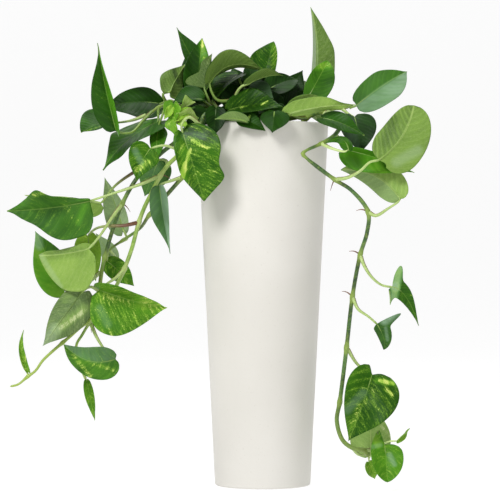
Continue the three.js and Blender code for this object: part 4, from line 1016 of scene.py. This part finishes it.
def blade_places(leaf, side, station, seed):
    place, along, up, right = on_rib(leaf, station)
    length = rib_of(leaf)[4]
    pick = (side > 0).astype(int)
    off = np.abs(side)
    wide = pair(leaf["half"])[pick] * fullness(leaf, station)
    for half, middle, spread, amount in leaf["bulges"]:
        wide = wide * (1 + (pick == half) * amount * np.exp(-((station - middle) / spread) ** 2))
    reach = wide * off
    start = np.radians(pair(leaf["fold"])[pick])
    turn = np.radians(pair(leaf["curl"])[pick]) * off
    turn = np.where(np.abs(turn) < 1e-3, 1e-3, turn)
    out = reach * (np.sin(start + turn) - np.sin(start)) / turn
    rise = reach * (np.cos(start) - np.cos(start + turn)) / turn
    rise = rise * off ** 2 / (off ** 2 + MIDRIB_SOFTNESS)
    lobe = pair(leaf["lobe"])[pick] * length * (1 - station) ** 3
    lobe = lobe * np.sin(np.pi * LOBE_TURN * off) * (1 - 0.35 * off ** 6)
    ripple = leaf["wave"] * length * side ** 2 * np.sin(np.pi * (RIPPLES * station + side))
    spacing = length / VEINS
    wander = np.array([noise.noise(Vector((seed * 3.1 + s, v * 2.2, seed))) for s, v in zip(side, station)])
    vein = station * VEINS - VEIN_LEAN * reach / spacing - VEIN_BEND * off ** 2
    vein = vein + HALF_SHIFT * pick + VEIN_WANDER * wander * off
    panel = leaf["panel"] * (np.abs(np.sin(np.pi * vein)) - 0.6)
    panel = panel * np.minimum(off * 4, 1) * np.minimum((1 - off) * 6, 1)
    rumple = np.array([
        noise.noise(Vector((seed * 7.3 + r / RUMPLE_SIZE * np.sign(s), v * length / RUMPLE_SIZE, seed)))
        for r, s, v in zip(reach, side, station)]) * leaf["rumple"] * RUMPLE_HEIGHT * off
    point = place + right * (np.sign(side) * out)[:, None] - along * lobe[:, None]
    point = point + up * (rise + ripple + panel + rumple)[:, None]
    return point, np.stack([side * reach / spacing / np.maximum(off, 1e-6), vein], axis=1)


def stroke_of(places, stroke):
    """How strongly a stroke of the brush, from one pixel to another, touches each place."""
    x0, y0, x1, y1, width = stroke
    spots = pixels_of(places)
    start, way = np.array([x0, y0]), np.array([x1 - x0, y1 - y0], float)
    share = np.clip((spots - start) @ way / max(way @ way, 1e-6), 0, 1)
    far = np.linalg.norm(spots - start - share[:, None] * way, axis=1)
    return np.clip(1.5 - far / width, 0, 1)


def blade(leaf, seed):
    start_fresh()
    bpy.ops.mesh.primitive_grid_add(x_subdivisions=CELLS_ACROSS, y_subdivisions=CELLS_ALONG, size=2)
    piece = bpy.context.object
    side, station, _ = corners_of(piece).T
    station = ((station + 1) / 2) ** 0.9
    places, veins = blade_places(leaf, side, station, seed)
    piece.data.vertices.foreach_set("co", (places * MM).ravel())
    held = piece.data.attributes.new("veins", "FLOAT_VECTOR", "POINT")
    held.data.foreach_set("vector", np.column_stack([veins, np.zeros(len(veins))]).ravel())
    for name in ("tone", "under", "cream", "sheen", "bands", "seed"):
        given = pair(seed if name == "seed" else leaf[name])
        halves = given[0] + (given[-1] - given[0]) * np.clip(side * 4 + 0.5, 0, 1)
        values = halves if len(given) == 2 else np.interp(station, np.linspace(0, 1, len(given)), given)
        for amount, *stroke in leaf["strokes"].get(name, []):
            values = values + amount * stroke_of(places, stroke)
        carry(piece, name, values)
    carry(piece, "joint", 0)
    thick = piece.modifiers.new("thickness", "SOLIDIFY")
    thick.thickness = BLADE_THICKNESS * MM
    thick.offset = 0
    thick.material_offset = 1
    only_finish(piece, UPPER)
    piece.data.materials.append(UNDER)
    bpy.ops.object.modifier_apply(modifier=thick.name)
    weld(0.02)
    return piece


print("blade cells:", CELLS_ACROSS, "x", CELLS_ALONG)

# %% [markdown]
# ## The stalk
# A stalk leaves its stem thick, narrows towards the blade, and runs on under it as the
# midrib, which fades out before the tip.

# %% Shape of a stalk
RIB_END = 0.85
STALK_STEP = 3.0
STALK_TAPER = [(0, 1.55), (0.3, 1.25), (0.8, 0.95), (1, 0.9)]  # its thickness from stem to blade
RIB_TAPER = (0.8, 0.15)
RIB_DEPTH = 0.1
RIB_PLACES = 12
SHEATH_SHARE = 0.7  # the dry edge of the sheath runs along this much of a stalk
SHEATH_SIDES = 6
BARE_STALK = 8  # a stalk with fewer places than this has no sheath


def stalk(leaf):
    radius = leaf["stalk"]
    start = at(STEMS[leaf["stem"]]["path"][leaf["joint"]])
    ribs, _, up, _ = on_rib(leaf, np.linspace(0, RIB_END, RIB_PLACES))
    ribs = ribs - up * (BLADE_THICKNESS / 2 + RIB_DEPTH)
    ribs[0] -= up[0] * 0.4
    ways = [start, *[at(p) for p in leaf["via"]], ribs[0]]
    free = curve_through([*ways, ribs[1]], STALK_STEP)
    reach = max(2, np.linalg.norm(free - ribs[0], axis=1).argmin())
    free = free[:reach]
    points = np.concatenate([free, ribs])
    share = np.linspace(0, 1, len(free))
    thick = np.interp(share, *zip(*STALK_TAPER))
    radii = np.concatenate([thick, np.linspace(*RIB_TAPER, len(ribs)) ** 1.4]) * radius
    piece = tube(points, radii)
    nearest = nearest_of(piece, points)
    on_blade = np.clip((nearest - len(free) + 2) / 3, 0, 1)
    own_tone = leaf["stalk_tone"]
    carry(piece, "tone", own_tone + (pair(leaf["under"]).mean() * 0.9 - own_tone) * on_blade)
    carry(piece, "joint", leaf["brown"] * np.clip(1.6 - 2.2 * nearest / len(free), 0, 1))
    only_finish(piece, STALK)
    if radius < STALK_RADIUS or len(free) < BARE_STALK:
        return [piece]
    lift = unit(np.cross(np.gradient(free, axis=0), [0, 1, 0]))
    lift[lift[:, 2] < 0] *= -1
    edge = (free + lift * (thick * radius * 0.92)[:, None])[1:int(len(free) * SHEATH_SHARE)]
    sheath = tube(edge, np.linspace(*RIB_TAPER, len(edge)), SHEATH_SIDES)
    carry(sheath, "joint", 0)
    only_finish(sheath, SHEATH)
    return [piece, sheath]


print("the midrib runs to", RIB_END, "of the blade")

# %% [markdown]
# ## Grow the vines
# The vines are round, swell at every joint and thin out towards their tips. A short
# aerial root stands out at some joints.

# %% Grow the vines
SPRIGS = [name for name in STEMS if name.startswith("sprig")]
VINES = [name for name in STEMS if name not in SPRIGS]
VINE_SIDES = 16
ROOT_SIDES = 8
ROOT_LENGTH = 15
VINE_STEP = 2.4
TIP_POINT = 0.3  # how thick the very tip of a vine is
SWELL = 0.32  # how much thicker a vine is at a joint
SWELL_REACH = 4
JOINT_GLOW = 0.7
GLOW_REACH = 9
THIN_REACH = 12


def root_hair(place, direction):
    way = unit(np.array(direction, float)) * ROOT_LENGTH
    points = [place + way * t + np.array([0, 0, 2.2 * math.sin(math.pi * t)]) for t in np.linspace(0, 1, 9)]
    piece = tube(np.array(points), np.linspace(1.15, 0.25, len(points)), ROOT_SIDES)
    carry(piece, "joint", 0)
    only_finish(piece, ROOT)
    return piece


def hump(points, middle, reach):
    """1 at the middle, falling off over the reach."""
    return np.exp(-(np.linalg.norm(points - middle, axis=1) / reach) ** 2)


def grow_stem(name):
    stem = STEMS[name]
    path = [at(p) for p in stem["path"]]
    points = curve_through(path, VINE_STEP)
    radius = VINE_RADIUS if name.startswith("vine") else SPRIG_RADIUS
    joints = [path[i] for i in stem.get("joints", [])]
    share = np.linspace(0, 1, len(points))
    radii = radius * np.interp(share, [0, 0.65, 1], [1, 0.93, stem.get("end", 0.5)])
    for index, thinner in stem.get("thin", []):
        radii = radii * (1 - thinner * hump(points, path[index], THIN_REACH))
    for joint in joints:
        radii = radii + radius * SWELL * hump(points, joint, SWELL_REACH)
    radii[-1] *= TIP_POINT
    piece = tube(points, radii, VINE_SIDES)
    glow = np.zeros(len(piece.data.vertices))
    for joint in joints:
        glow = np.maximum(glow, hump(corners_of(piece) / MM, joint, GLOW_REACH))
    along = nearest_of(piece, points) / (len(points) - 1)
    glow = np.maximum(glow * JOINT_GLOW, np.interp(along, *zip(*stem.get("glow", [(0, 0), (1, 0)]))))
    carry(piece, "joint", glow)
    only_finish(piece, VINE_LIGHT if name == "vine_left_light" else VINE_DARK)
    roots = [root_hair(path[index], direction) for index, direction in stem.get("roots", [])]
    return [piece, *roots]


seeds = random.Random(7)
for name in VINES:
    pieces = grow_stem(name)
    for own in GROWN.get(name, []):
        full = {**LEAF_SHAPE, "stem": name, **own}
        pieces += [blade(full, seeds.uniform(0, 40)), *stalk(full)]
    hand_over(join(pieces), name + "_stem", "stem", name)
print("vines:", len(VINES))

# %% [markdown]
# ## Grow the crown
# Each sprig is a short stem with all its leaves. They crowd over the rim, the older and
# darker leaves below and the young, lighter ones on top.

# %% Grow the crown
SHADED_STALK = 0.4
for name in SPRIGS:
    pieces = grow_stem(name)
    blades = []
    for own in GROWN[name]:
        full = {**LEAF_SHAPE, "stem": name, "stalk_tone": SHADED_STALK, **own}
        blades.append(blade(full, full.get("seed") or seeds.uniform(0, 40)))
        pieces += stalk(full)
    hand_over(join(pieces), name + "_stems", "stem", name)
    hand_over(join(blades), name + "_leaves", "leaf", name)
print("sprigs:", len(SPRIGS))

# %% [markdown]
# ## Grow the single leaves
# Every other leaf is a piece of its own, with its stalk and its midrib.

# %% Grow the leaves
for name, own in LEAVES.items():
    full = {**LEAF_SHAPE, **own}
    hand_over(join([blade(full, seeds.uniform(0, 40)), *stalk(full)]), name + "_live", "leaf", name)
print("leaves:", len(LEAVES))

# %% [markdown]
# ## The studio
# The floor and the wall behind are one pale sheet with a round bend between them. Soft
# light comes from the upper left, from the front and from the pale room all round.

# %% Build the studio
FLOOR_HALF = 16.0
WALL_BACK = 4.5
WALL_TOP = 7.0
BEND = 1.5


def backdrop():
    start_fresh()
    line = [(-FLOOR_HALF, 0.0), *[(WALL_BACK - BEND + BEND * math.sin(a), BEND - BEND * math.cos(a))
                                 for a in np.linspace(0, math.pi / 2, 24)], (WALL_BACK, WALL_TOP)]
    corners = [(x, y, z) for x in (-FLOOR_HALF, FLOOR_HALF) for y, z in line]
    n = len(line)
    faces = [(i, i + n, i + n + 1, i + 1) for i in range(n - 1)]
    mesh = bpy.data.meshes.new("backdrop")
    mesh.from_pydata(corners, [], faces)
    sheet = link("backdrop", mesh)
    f = Finish("pale_sheet")
    f.set(base_color=colour("#d8d8d8", 0.35), roughness=1.0)
    f.set(emission_color=(1, 1, 1, 1), emission_strength=0.8)
    mesh.materials.append(f.material)
    for polygon in mesh.polygons:
        polygon.use_smooth = True


def lamp(name, place, aim, size, power):
    light = bpy.data.lights.new(name, "AREA")
    light.shape = "RECTANGLE"
    light.size, light.size_y = size
    light.energy = power
    holder = link(name, light)
    holder.location = place
    holder.rotation_euler = (Vector(aim) - Vector(place)).to_track_quat("-Z", "Y").to_euler()


backdrop()
lamp("key", (-1.3, -2.4, 2.4), (0, 0, 0.35), (1.1, 1.1), 78)
lamp("front", (1.4, -3.0, 1.0), (0, 0, 0.3), (2.0, 1.5), 16)
lamp("top", (0.2, 0.4, 2.8), (0, 0, 0.35), (1.3, 1.3), 26)
world = bpy.data.worlds.new("room")
bpy.context.scene.world = world
world.use_nodes = True
room = world.node_tree.nodes["Background"].inputs
room["Color"].default_value = (1, 1, 1, 1)
room["Strength"].default_value = 0.25
bpy.context.scene.view_settings.view_transform = "Standard"
print("lights:", len(bpy.data.lights))

# %% [markdown]
# ## The camera
# The picture was taken level, from far off. The camera is a touch wider than the
# picture, so that the pot's foot is inside the frame.

# %% Place the camera
SENSOR = 36
FRAME_PIXELS = 500
WIDEN = 1.025
eye = bpy.data.cameras.new("eye")
eye.sensor_width = SENSOR
eye.lens = SENSOR * VIEW_DISTANCE / (FRAME_PIXELS * PIXEL * WIDEN)
eye.clip_end = 100
camera = link("eye", eye)
camera.location = (EYE_X * MM, -VIEW_DISTANCE * MM, EYE_Z * MM)
camera.rotation_euler = (math.pi / 2, 0, 0)
bpy.context.scene.camera = camera
print("lens:", round(eye.lens, 1), "mm")
